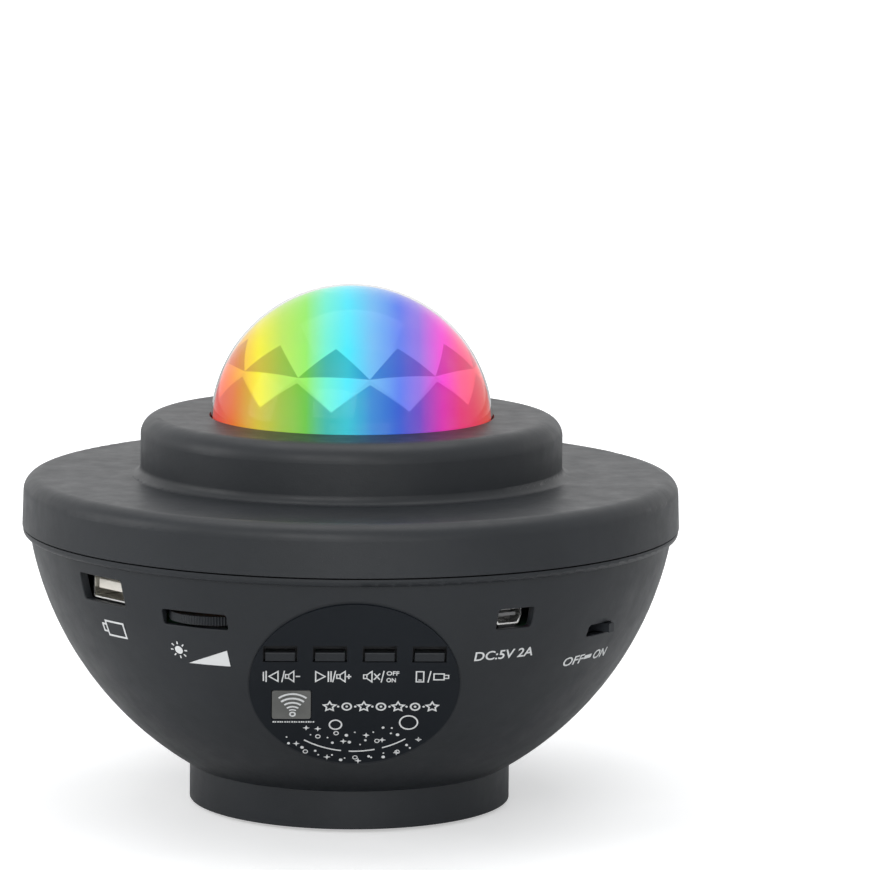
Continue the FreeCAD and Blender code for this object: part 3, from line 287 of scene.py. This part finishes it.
def finish_piece(name, mesh, material, body="housing", smooth=False):
    """Object from a bmesh: closed normals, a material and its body."""
    bmesh.ops.recalc_face_normals(mesh, faces=mesh.faces[:])
    data = bpy.data.meshes.new(name)
    mesh.to_mesh(data)
    mesh.free()
    data.materials.append(material)
    if smooth:
        data.polygons.foreach_set("use_smooth", [True] * len(data.polygons))
    piece = bpy.data.objects.new(name, data)
    bpy.context.scene.collection.objects.link(piece)
    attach(piece, body)
    return piece


def polar(radius, azimuth, z):
    """Point in metres from a radius and height in mm and an azimuth in degrees."""
    turn = math.radians(azimuth)
    return Vector((radius * math.sin(turn), -radius * math.cos(turn), z)) * MM


def dome_shell(material):
    """Thin clear dome, turned from its section."""
    section = []
    upward = range(SHELL_STEPS + 1)
    for radius, steps in ((SHELL_R, upward), (SHELL_R - SHELL_WALL, reversed(upward))):
        low = math.asin((DOME_FOOT_Z - DOME_Z) / radius)
        for step in steps:
            angle = low + (math.pi / 2 - low) * step / SHELL_STEPS
            section.append((radius * math.cos(angle), DOME_Z + radius * math.sin(angle)))
    mesh = bmesh.new()
    rings = []
    for radius, z in section:
        if radius < 1e-6:
            rings.append([mesh.verts.new((0, 0, z * MM))])
        else:
            turns = [360 * side / SHELL_SIDES for side in range(SHELL_SIDES)]
            rings.append([mesh.verts.new(polar(radius, turn, z)) for turn in turns])
    for low, high in zip(rings, rings[1:] + rings[:1]):
        if len(low) == 1 and len(high) == 1:
            continue
        for side in range(SHELL_SIDES):
            after = (side + 1) % SHELL_SIDES
            if len(high) == 1:
                mesh.faces.new((low[side], low[after], high[0]))
            elif len(low) == 1:
                mesh.faces.new((low[0], high[after], high[side]))
            else:
                mesh.faces.new((low[side], low[after], high[after], high[side]))
    finish_piece("dome_shell", mesh, material, smooth=True)


def dome_core(material):
    """Many-sided core, lit from inside, with its faces partly rounded towards a sphere."""
    mesh = bmesh.new()

    def ring(latitude, turn, z=None):
        lat = math.radians(latitude)
        height = DOME_Z + CORE_R * math.sin(lat) if z is None else z
        turns = [FACET_TURN + 360 / FACETS * (index + turn) for index in range(FACETS)]
        return [mesh.verts.new(polar(CORE_R * math.cos(lat), azimuth, height)) for azimuth in turns]

    cap = ring(CAP_LATITUDE, 0.5)
    upper = ring(UPPER_LATITUDE, 0.5)
    girdle = ring(GIRDLE_LATITUDE, 0.0)
    below = ring(GIRDLE_LATITUDE - SLIVER, 0.0)
    lower = ring(LOWER_LATITUDE, 0.5)
    base = ring(0.0, 0.5, CORE_FOOT_Z)
    top = mesh.verts.new((0, 0, (DOME_Z + CORE_R * CORE_TIP) * MM))
    # Each face carries a tone of painted shade, which mixes its glow between the lit and the shaded colours
    facet_shading = mesh.faces.layers.float.new("tone")

    def face(tone, *corners):
        mesh.faces.new(corners)[facet_shading] = tone

    for index in range(FACETS):
        after, before = (index + 1) % FACETS, index - 1
        face(LIT_FACE, cap[index], cap[after], top)
        face(UPPER_TONE, cap[index], cap[after], upper[after], upper[index])
        face(KITE_TONE, girdle[index], upper[before], upper[index])
        face(SHADED_FACE, girdle[index], girdle[after], upper[index])
        face(LIT_FACE, girdle[index], girdle[after], lower[index])
        face(SLIVER_TONE, girdle[index], below[index], lower[index])
        face(SLIVER_TONE, girdle[index], lower[before], below[index])
        face(LOWER_TONE, below[index], lower[index], base[index], base[before], lower[before])
    face(SHADED_FACE, *reversed(base))
    bmesh.ops.triangulate(mesh, faces=mesh.faces[:])
    bmesh.ops.subdivide_edges(mesh, edges=mesh.edges[:], cuts=CORE_CUTS, use_grid_fill=True)
    centre = Vector((0, 0, DOME_Z)) * MM
    for vert in mesh.verts:
        if vert.co.z > (CORE_FOOT_Z + 0.01) * MM:
            arm = vert.co - centre
            vert.co = centre + arm.lerp(arm.normalized() * CORE_R * MM, CORE_ROUNDNESS)
    piece = finish_piece("dome_core", mesh, material, smooth=True)
    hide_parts("dome_lens")


def bowl_radius(z):
    """Radius of the bowl's outside at a height, in mm."""
    return math.sqrt(BOWL_ARC_R ** 2 - (BOWL_ARC_CENTRE_Z - z) ** 2) + BOWL_ARC_CENTRE_R


def panel_place(u, v, lift):
    """Point in metres from places across and up the flat panel and a height over its film, all in mm."""
    out = PANEL_FILM + lift
    away = PANEL_OUT + out * math.cos(PANEL_TILT) + v * math.sin(PANEL_TILT)
    return Vector((u, -away, PANEL_MIDDLE_Z - out * math.sin(PANEL_TILT) + v * math.cos(PANEL_TILT))) * MM


def bowl_place(azimuth, z):
    """Mapping onto the bowl round an azimuth and height: mm across, up and off it give a point."""
    radius = bowl_radius(z)
    start = math.asin((BOWL_ARC_CENTRE_Z - z) / BOWL_ARC_R)

    def place(u, v, lift):
        angle = start - v / BOWL_ARC_R
        reach = BOWL_ARC_R + lift
        return polar(BOWL_ARC_CENTRE_R + reach * math.cos(angle), azimuth + math.degrees(u / radius),
                     BOWL_ARC_CENTRE_Z - reach * math.sin(angle))

    return place


class Print:
    """White printed marks, drawn flat in mm and then laid on a surface."""

    def __init__(self):
        self.mesh = bmesh.new()

    def area(self, points):
        """Thin block on any outline."""
        low = [self.mesh.verts.new((u, v, PRINT_LIFT)) for u, v in points]
        high = [self.mesh.verts.new((u, v, PRINT_LIFT + PRINT_THICK)) for u, v in points]
        self.mesh.faces.new(list(reversed(low)))
        self.mesh.faces.new(high)
        for index in range(len(points)):
            after = (index + 1) % len(points)
            self.mesh.faces.new((low[index], low[after], high[after], high[index]))

    def line(self, points, width, closed=False):
        """Stroke along points, with mitred corners."""
        count = len(points)
        left, right = [], []
        for index, (u, v) in enumerate(points):
            before = points[index - 1] if index or closed else None
            after = points[(index + 1) % count] if index < count - 1 or closed else None
            runs = []
            for start, end in ((before, (u, v)), ((u, v), after)):
                if start and end:
                    size = math.dist(start, end)
                    runs.append(((end[0] - start[0]) / size, (end[1] - start[1]) / size))
            normal = (-sum(run[1] for run in runs), sum(run[0] for run in runs))
            size = math.hypot(*normal)
            normal = (normal[0] / size, normal[1] / size)
            square = normal[0] * -runs[0][1] + normal[1] * runs[0][0]
            reach = width / 2 / max(square, 0.4)
            left.append((u + normal[0] * reach, v + normal[1] * reach))
            right.append((u - normal[0] * reach, v - normal[1] * reach))
        if not closed:
            self.area(right + left[::-1])
            return
        base, top = PRINT_LIFT, PRINT_LIFT + PRINT_THICK
        rows = [[self.mesh.verts.new((u, v, height)) for u, v in side]
                for side, height in ((left, base), (right, base), (right, top), (left, top))]
        for low, high in zip(rows, rows[1:] + rows[:1]):
            for index in range(count):
                after = (index + 1) % count
                self.mesh.faces.new((low[index], low[after], high[after], high[index]))

    def arc(self, u, v, radius, width, start=0.0, end=360.0):
        """Stroke along a circle or a part of one."""
        closed = end - start >= 360
        steps = max(8, int(abs(end - start) / 12))
        count = steps if closed else steps + 1
        turns = [math.radians(start + (end - start) * step / steps) for step in range(count)]
        points = [(u + radius * math.cos(turn), v + radius * math.sin(turn)) for turn in turns]
        self.line(points, width, closed)

    def dot(self, u, v, radius):
        """Filled round dot."""
        turns = [math.tau * step / DOT_SIDES for step in range(DOT_SIDES)]
        self.area([(u + radius * math.cos(turn), v + radius * math.sin(turn)) for turn in turns])

    def star(self, u, v, radius, points=5, waist=0.42, outline=0.0):
        """Star with a point upwards, filled, or drawn with a stroke where outline gives its width."""
        corners = []
        for step in range(2 * points):
            reach = radius * (waist if step % 2 else 1.0)
            angle = math.radians(90.0 + 180.0 * step / points)
            corners.append((u + reach * math.cos(angle), v + reach * math.sin(angle)))
        if outline:
            self.line(corners, outline, True)
        else:
            self.area(corners)

    def text(self, body, left, right, low, high, weight=0.012):
        """Lettering stretched to fill a box."""
        curve = bpy.data.curves.new("lettering", "FONT")
        curve.body = body
        curve.offset = weight
        curve.resolution_u = 4
        holder = bpy.data.objects.new("lettering", curve)
        bpy.context.scene.collection.objects.link(holder)
        flat = bpy.data.meshes.new_from_object(holder.evaluated_get(bpy.context.evaluated_depsgraph_get()))
        bpy.data.objects.remove(holder)
        bpy.data.curves.remove(curve)
        letters = bmesh.new()
        letters.from_mesh(flat)
        bpy.data.meshes.remove(flat)
        bmesh.ops.remove_doubles(letters, verts=letters.verts[:], dist=1e-5)
        bmesh.ops.dissolve_degenerate(letters, edges=letters.edges[:], dist=1e-5)
        us = [vert.co.x for vert in letters.verts]
        vs = [vert.co.y for vert in letters.verts]
        cap = [vert.co.y for vert in letters.verts if vert.co.y >= 0]
        across = (right - left) / (max(us) - min(us))
        up = (high - low) / max(cap)
        lows, highs = {}, {}
        for vert in letters.verts:
            u, v = left + (vert.co.x - min(us)) * across, low + vert.co.y * up
            lows[vert] = self.mesh.verts.new((u, v, PRINT_LIFT))
            highs[vert] = self.mesh.verts.new((u, v, PRINT_LIFT + PRINT_THICK))
        for face in letters.faces:
            self.mesh.faces.new([lows[vert] for vert in reversed(face.verts)])
            self.mesh.faces.new([highs[vert] for vert in face.verts])
        for edge in letters.edges:
            if len(edge.link_faces) == 1:
                start, end = edge.verts
                self.mesh.faces.new((lows[start], lows[end], highs[end], highs[start]))
        letters.free()

    def lay(self, name, place, material, cell=None):
        """Put the drawing on its surface. A cell size cuts it up first, so that it follows a curve."""
        if cell:
            for axis in (0, 1):
                reach = max(abs(vert.co[axis]) for vert in self.mesh.verts)
                normal = Vector((1, 0, 0)) if axis == 0 else Vector((0, 1, 0))
                for step in range(-int(reach / cell), int(reach / cell) + 1):
                    everything = self.mesh.verts[:] + self.mesh.edges[:] + self.mesh.faces[:]
                    place_cut = normal * (step * cell + CELL_SHIFT)
                    bmesh.ops.bisect_plane(self.mesh, geom=everything, plane_co=place_cut, plane_no=normal,
                                           dist=1e-5)
        for vert in self.mesh.verts:
            vert.co = place(*vert.co)
        finish_piece(name, self.mesh, material)


def speaker_mark(drawing, u, v, width=2.05):
    """Loudspeaker that faces right, outlined."""
    drawing.line([(u, v + 0.6), (u + 0.4 * width, v + 0.6), (u + width, v + 1.7), (u + width, v - 1.7),
                  (u + 0.4 * width, v - 0.6), (u, v - 0.6)], 0.3, True)
    drawing.line([(u + 0.4 * width, v + 0.6), (u + 0.4 * width, v - 0.6)], 0.26)


def key_marks(ink):
    """Row of symbols under the keys."""
    row = 2.8
    marks = Print()
    for u, height in ((-22.25, 1.45), (-21.6, 1.8)):
        marks.line([(u, row - height), (u, row + height)], 0.32)
    marks.line([(-20.9, row), (-18.7, row + 1.6), (-18.7, row - 1.6)], 0.32, True)
    speaker_mark(marks, -16.9, row)
    marks.line([(-14.4, row), (-13.3, row)], 0.34)
    marks.line([(-9.5, row + 1.6), (-9.5, row - 1.6), (-7.2, row)], 0.32, True)
    for u in (-6.4, -5.75):
        marks.line([(u, row - 1.7), (u, row + 1.7)], 0.34)
    speaker_mark(marks, -4.35, row)
    marks.line([(-2.0, row), (-0.8, row)], 0.36)
    marks.line([(-1.4, row - 0.75), (-1.4, row + 0.75)], 0.34)
    speaker_mark(marks, 2.2, row)
    marks.line([(4.75, row - 1.0), (6.2, row + 1.0)], 0.32)
    marks.line([(4.75, row + 1.0), (6.2, row - 1.0)], 0.32)
    for u in (-17.45, -5.0, 6.85, 18.3):
        marks.line([(u - 0.33, row - 1.85), (u + 0.33, row + 1.85)], 0.3)
    marks.text("OFF", 7.8, 10.9, row + 0.45, row + 1.75, 0.02)
    marks.text("ON", 7.8, 10.1, row - 1.75, row - 0.45, 0.02)
    marks.line([(15.1, row - 1.65), (16.9, row - 1.65), (16.9, row + 1.65), (15.1, row + 1.65)], 0.32, True)
    marks.line([(15.6, row - 1.05), (16.4, row - 1.05)], 0.28)
    marks.line([(19.4, row - 0.95), (21.9, row - 0.95), (21.9, row + 0.95), (19.4, row + 0.95)], 0.32, True)
    marks.line([(21.95, row - 0.5), (23.0, row - 0.5), (23.0, row + 0.5), (21.95, row + 0.5)], 0.28)
    marks.lay("key_symbols", panel_place, ink)


def window_marks(ink):
    """Fan of waves over a ring on the remote window, and a fine row of dashes under it."""
    marks = Print()
    centre = -15.1
    for top, half, drop, width in ((-2.95, 3.4, 1.35, 0.5), (-4.4, 2.8, 1.1, 0.55), (-5.8, 2.0, 0.75, 0.5),
                                   (-7.1, 1.4, 0.5, 0.45), (-8.1, 0.8, 0.28, 0.35)):
        radius = (half ** 2 + drop ** 2) / 2 / drop
        span = math.degrees(math.asin(half / radius))
        marks.arc(centre, top - radius, radius, width, 90.0 - span, 90.0 + span)
    marks.arc(centre, -9.55, 0.62, 0.4)
    for step in range(18):
        start = -20.0 + 0.58 * step
        marks.line([(start, -12.1), (start + (0.44, 0.3, 0.4)[step % 3], -12.1)], 0.42)
    marks.lay("window_waves", panel_place, ink)


def sky_marks(ink):
    """Plain night-sky pattern on the lower panel: a row of stars and rings over arcs of dots."""
    marks = Print()
    row, pitch, count = -7.0, 4.2, 7
    for index in range(count):
        u = -6.0 + pitch * index
        if index % 2:
            marks.arc(u, row, 1.1, 0.42)
            marks.dot(u, row, 0.32)
        else:
            marks.star(u, row, 1.55, waist=0.5, outline=0.36)
        if index < count - 1:
            marks.dot(u + pitch / 2, row, 0.3)
    sizes = (0.22, 0.36, 0.26, 0.44, 0.2, 0.32)
    rings = ((13.5, -12.2, 2.2), (-4.5, -13.0, 1.5))

    def taken(u, v):
        """Whether a place is left clear for the row of stars, the window or a ring."""
        by_window = u < -9.0 and v > -13.6
        return v > -9.4 or by_window or any(math.dist((u, v), ring[:2]) < ring[2] + 1.2 for ring in rings)

    for radius, start, end, count in ((16.2, 222, 338, 15), (19.0, 218, 330, 19), (24.3, 226, 314, 23)):
        for step in range(count):
            angle = math.radians(start + (end - start) * step / (count - 1) + 2.5 * math.sin(3.1 * step))
            reach = radius + 0.7 * math.sin(2.3 * step + radius)
            u, v = reach * math.cos(angle), reach * math.sin(angle)
            if taken(u, v):
                continue
            if step % 5 == 2:
                marks.star(u, v, 0.85, 4, 0.36)
            elif step % 7 == 4:
                marks.arc(u, v, 0.55, 0.22)
            else:
                marks.dot(u, v, sizes[(step + int(radius)) % 6])
    for start, end in ((236, 262), (267, 284), (289, 306)):
        marks.arc(0.0, 0.0, 21.8, 0.34, start, end)
    for u, v, radius in rings:
        marks.arc(u, v, radius, 0.38)
    marks.lay("sky_pattern", panel_place, ink)


def bowl_marks(ink):
    """Symbols and lettering beside the controls on the bowl."""
    phone = Print()
    phone.line([(-1.0, -1.3), (5.7, -1.3), (5.7, 2.7), (-1.0, 2.7)], 0.5, True)
    phone.line([(-1.3, -0.3), (-2.5, -0.3), (-2.5, 1.7), (-1.3, 1.7)], 0.5)
    phone.lay("charge_symbol", bowl_place(-50.6, 53.2), ink, CURVE_CELL)

    sun = Print()
    sun.dot(0.0, 0.0, 1.15)
    for step in range(8):
        turn = math.tau * step / 8
        sun.line([(reach * math.cos(turn), reach * math.sin(turn)) for reach in (1.65, 2.4)], 0.36)
    sun.lay("sun_symbol", bowl_place(-33.93, 51.15), ink, CURVE_CELL)

    wedge = Print()
    wedge.area([(-5.8, -1.2), (5.85, -1.0), (5.7, 3.6)])
    wedge.lay("level_wedge", bowl_place(-28.0, 49.0), ink, CURVE_CELL)

    power = Print()
    power.text("DC:5V 2A", -8.35, 8.35, 0.0, 2.55)
    power.lay("power_text", bowl_place(28.65, 49.9), ink, CURVE_CELL)

    switch = Print()
    switch.text("OFF", -8.9, -1.1, -0.2, 2.4)
    switch.text("ON", 3.1, 9.0, 0.1, 2.7)
    switch.area([(-0.9, 0.75), (2.0, 0.85), (2.0, 1.95), (-0.9, 1.85)])
    switch.lay("switch_text", bowl_place(51.0, 45.35), ink, CURVE_CELL)


def area_light(name, place, target, size, power):
    """Rectangular lamp that faces a target."""
    lamp = bpy.data.lights.new(name, "AREA")
    lamp.shape = "RECTANGLE"
    lamp.size, lamp.size_y = size
    lamp.energy = power
    holder = bpy.data.objects.new(name, lamp)
    holder.location = place
    holder.rotation_euler = (Vector(target) - Vector(place)).to_track_quat("-Z", "Y").to_euler()
    bpy.context.scene.collection.objects.link(holder)


def floor_paper():
    """Pale paper that looks white from far off and keeps the object's shadow close by."""
    look = Shader("floor_paper", Roughness=0.6, Specular_IOR_Level=0.1)
    stops = [(0.3, (0.8, 0.8, 0.8, 1.0)), (0.7, (0.84, 0.84, 0.84, 1.0))]
    look.link(look.ramp(look.noise(40.0, 3.0), stops), look.main.inputs["Base Color"])
    path = look.node("LightPath")
    look.main.inputs["Emission Color"].default_value = WHITE
    away = look.node("VectorMath", operation="LENGTH")
    look.link(look.object_place(), away.inputs[0])
    wash = look.node("Math", operation="MULTIPLY")
    look.link(look.span(away.outputs["Value"], *FLOOR_FADE, FLOOR_WASH, 1.0), wash.inputs[0])
    look.link(path.outputs["Is Camera Ray"], wash.inputs[1])
    look.link(wash.outputs[0], look.main.inputs["Emission Strength"])
    return look.material


def studio_floor():
    """Plain slab with its top at zero height."""
    mesh = bmesh.new()
    half, thick = 6.0, 0.01
    bmesh.ops.create_cube(mesh, size=1.0, matrix=Matrix.Diagonal((2 * half, 2 * half, thick, 1.0)))
    data = bpy.data.meshes.new("floor")
    bmesh.ops.translate(mesh, verts=mesh.verts, vec=(0, 0, -thick / 2))
    mesh.to_mesh(data)
    mesh.free()
    data.materials.append(floor_paper())
    floor = bpy.data.objects.new("floor", data)
    bpy.context.scene.collection.objects.link(floor)


def backdrop():
    """World that lights the object a little, and is white to the camera, in gloss and through glass."""
    world = bpy.data.worlds.new("studio")
    world.use_nodes = True
    bpy.context.scene.world = world
    tree = world.node_tree
    tree.nodes.clear()
    output = tree.nodes.new("ShaderNodeOutputWorld")
    light = tree.nodes.new("ShaderNodeBackground")
    light.inputs["Color"].default_value = (0.94, 0.97, 1.0, 1.0)
    light.inputs["Strength"].default_value = WORLD_LIGHT
    seen = tree.nodes.new("ShaderNodeBackground")
    seen.inputs["Color"].default_value = WHITE
    seen.inputs["Strength"].default_value = 1.0
    path = tree.nodes.new("ShaderNodeLightPath")
    shown = path.outputs["Is Camera Ray"]
    for ray in ("Is Transmission Ray", "Is Glossy Ray"):
        either = tree.nodes.new("ShaderNodeMath")
        either.operation = "MAXIMUM"
        tree.links.new(shown, either.inputs[0])
        tree.links.new(path.outputs[ray], either.inputs[1])
        shown = either.outputs[0]
    mix = tree.nodes.new("ShaderNodeMixShader")
    tree.links.new(shown, mix.inputs["Fac"])
    tree.links.new(light.outputs[0], mix.inputs[1])
    tree.links.new(seen.outputs[0], mix.inputs[2])
    tree.links.new(mix.outputs[0], output.inputs["Surface"])


def lamps():
    """Soft overhead light, with fills from the front, the left and low down."""
    area_light("overhead", (0.0, 0.1, 1.6), (0, 0, 0.06), (1.6, 1.2), 12.0)
    area_light("front_fill", (-0.5, -1.7, 0.9), (0, 0, 0.06), (1.2, 0.8), 11.0)
    area_light("left_fill", (-1.6, -0.2, 0.6), (0, 0, 0.06), (0.8, 0.8), 6.0)
    area_light("low_fill", (0.15, -1.5, 0.2), (0, 0, 0.04), (1.4, 0.3), 3.0)


def camera():
    """Camera at the photograph's place. It looks past the object's side, as the photograph's frame does."""
    turn = math.radians(CAMERA_AZIMUTH)
    place = Vector((CAMERA_DISTANCE * math.sin(turn), -CAMERA_DISTANCE * math.cos(turn), CAMERA_HEIGHT))
    heading = math.radians(CAMERA_AZIMUTH - CAMERA_YAW)
    pitch = math.radians(CAMERA_PITCH)
    level = math.cos(pitch)
    forward = Vector((-math.sin(heading) * level, math.cos(heading) * level, -math.sin(pitch)))
    roll = Matrix.Rotation(math.radians(CAMERA_ROLL), 3, "Z").to_quaternion()
    turned = forward.to_track_quat("-Z", "Y") @ roll
    lens = bpy.data.cameras.new("camera")
    lens.sensor_width = SENSOR
    lens.lens = FOCAL_PX * SENSOR / FRAME_PX
    holder = bpy.data.objects.new("camera", lens)
    holder.location = place
    holder.rotation_euler = turned.to_euler()
    bpy.context.scene.collection.objects.link(holder)
    bpy.context.scene.camera = holder


def dress(material, *nodes):
    """Give CAD nodes their material."""
    for node in nodes:
        data = NODES[node].data
        data.materials.clear()
        data.materials.append(material)


dress(plastic("black_abs", (0.014, 0.016, 0.0185, 1.0), (0.019, 0.0215, 0.025, 1.0), 0.42, 2400.0, 0.00004,
              0.3, 0.05),
      "bowl_housing", "top_cover", "dome_collar", "key_previous", "key_play", "key_mute", "key_mode",
      "switch_knob", "brightness_dial", "base_plate")
# The film's black is darker than the housing's: partly its own colour, partly painted shade that holds back
# the front and low fill lamps on this downward-facing panel
dress(plastic("panel_film", (0.004, 0.006, 0.009, 1.0), (0.006, 0.0085, 0.012, 1.0), 0.38, 3200.0, 0.00002,
              0.2, 0.03),
      "panel_overlay")
dress(plastic("smoked_window", (0.075, 0.077, 0.072, 1.0), (0.2, 0.2, 0.19, 1.0), 0.35, 900.0, 0.0001, 0.5),
      "remote_window")
dress(plastic("inner_abs", (0.6, 0.6, 0.58, 1.0), (0.68, 0.68, 0.66, 1.0), 0.5, 1800.0, 0.00003, 0.4),
      "dome_ring", "light_deck", "motor_clamp", "disc_spindle", "lens_holder")
dress(plastic("gear_plastic", (0.75, 0.76, 0.74, 1.0), (0.82, 0.83, 0.8, 1.0), 0.3, 1500.0, 0.00002, 0.5),
      "wave_disc", "drive_pinion")
dress(plastic("nylon", (0.75, 0.74, 0.68, 1.0), (0.8, 0.79, 0.74, 1.0), 0.45, 1500.0, 0.00003, 0.4),
      "thrust_washer")
dress(plastic("rubber", (0.02, 0.02, 0.02, 1.0), (0.028, 0.028, 0.028, 1.0), 0.75, 1300.0, 0.00008,
              0.3, 0.05),
      "rubber_feet")
dress(plastic("circuit_board", (0.02, 0.12, 0.05, 1.0), (0.03, 0.17, 0.07, 1.0), 0.35, 900.0, 0.00004, 0.5),
      "main_board", "led_board", "receiver_board")
dress(plastic("chip_resin", (0.018, 0.018, 0.02, 1.0), (0.03, 0.03, 0.032, 1.0), 0.55, 1500.0, 0.00003, 0.4),
      "board_chips", "receiver_eye", "power_switch", "key_switches", "media_socket_stand",
      "power_socket_stand", "dial_resistor")
dress(plastic("led_face", (0.75, 0.72, 0.4, 1.0), (0.82, 0.8, 0.55, 1.0), 0.3, 900.0, 0.00002, 0.5), "leds")
dress(plastic("cream_insulator", (0.78, 0.74, 0.66, 1.0), (0.85, 0.81, 0.73, 1.0), 0.35, 1500.0, 0.00002,
              0.5),
      "media_socket_contacts")
dress(plastic("contacts", (0.16, 0.16, 0.16, 1.0), (0.3, 0.3, 0.3, 1.0), 0.3, 1500.0, 0.00002, 0.6),
      "power_socket_contacts")
dress(metal("screw_steel", (0.35, 0.35, 0.36, 1.0), (0.45, 0.45, 0.46, 1.0), 0.32),
      "cover_screws", "plate_screws", "deck_screws", "dome_ring_screws", "board_screws")
dress(metal("socket_tin", (0.72, 0.72, 0.7, 1.0), (0.8, 0.8, 0.78, 1.0), 0.2, 4.0), "media_socket_shell",
      "power_socket_shell")
dress(metal("aluminium", (0.6, 0.6, 0.6, 1.0), (0.68, 0.68, 0.68, 1.0), 0.35, 6.0), "heat_sink")
dress(metal("motor_can", (0.5, 0.5, 0.5, 1.0), (0.58, 0.58, 0.58, 1.0), 0.28, 3.0),
      "drive_motor", "speaker_frame")
dress(metal("brass", (0.65, 0.5, 0.22, 1.0), (0.75, 0.58, 0.28, 1.0), 0.25), "laser_module")
dress(plastic("cone_paper", (0.03, 0.03, 0.03, 1.0), (0.045, 0.045, 0.045, 1.0), 0.8, 900.0, 0.0001, 0.2),
      "speaker_cone")
dress(plastic("magnet", (0.05, 0.05, 0.05, 1.0), (0.07, 0.07, 0.07, 1.0), 0.45, 700.0, 0.00006, 0.5),
      "speaker_magnet")
dress(clear("lens_clear", 0.02, 1.49), "grating_disc", "condenser_lenses", "laser_lens")

dome_core(glowing_dome("dome_light"))
dome_shell(clear("dome_clear", 0.0, 1.12))

ink = plastic("white_ink", (0.62, 0.63, 0.63, 1.0), (0.74, 0.75, 0.75, 1.0), 0.5, 2600.0, 0.00001, 0.3)
key_marks(ink)
window_marks(ink)
sky_marks(ink)
bowl_marks(ink)

studio_floor()
backdrop()
lamps()
camera()
bpy.context.scene.view_settings.view_transform = "Standard"
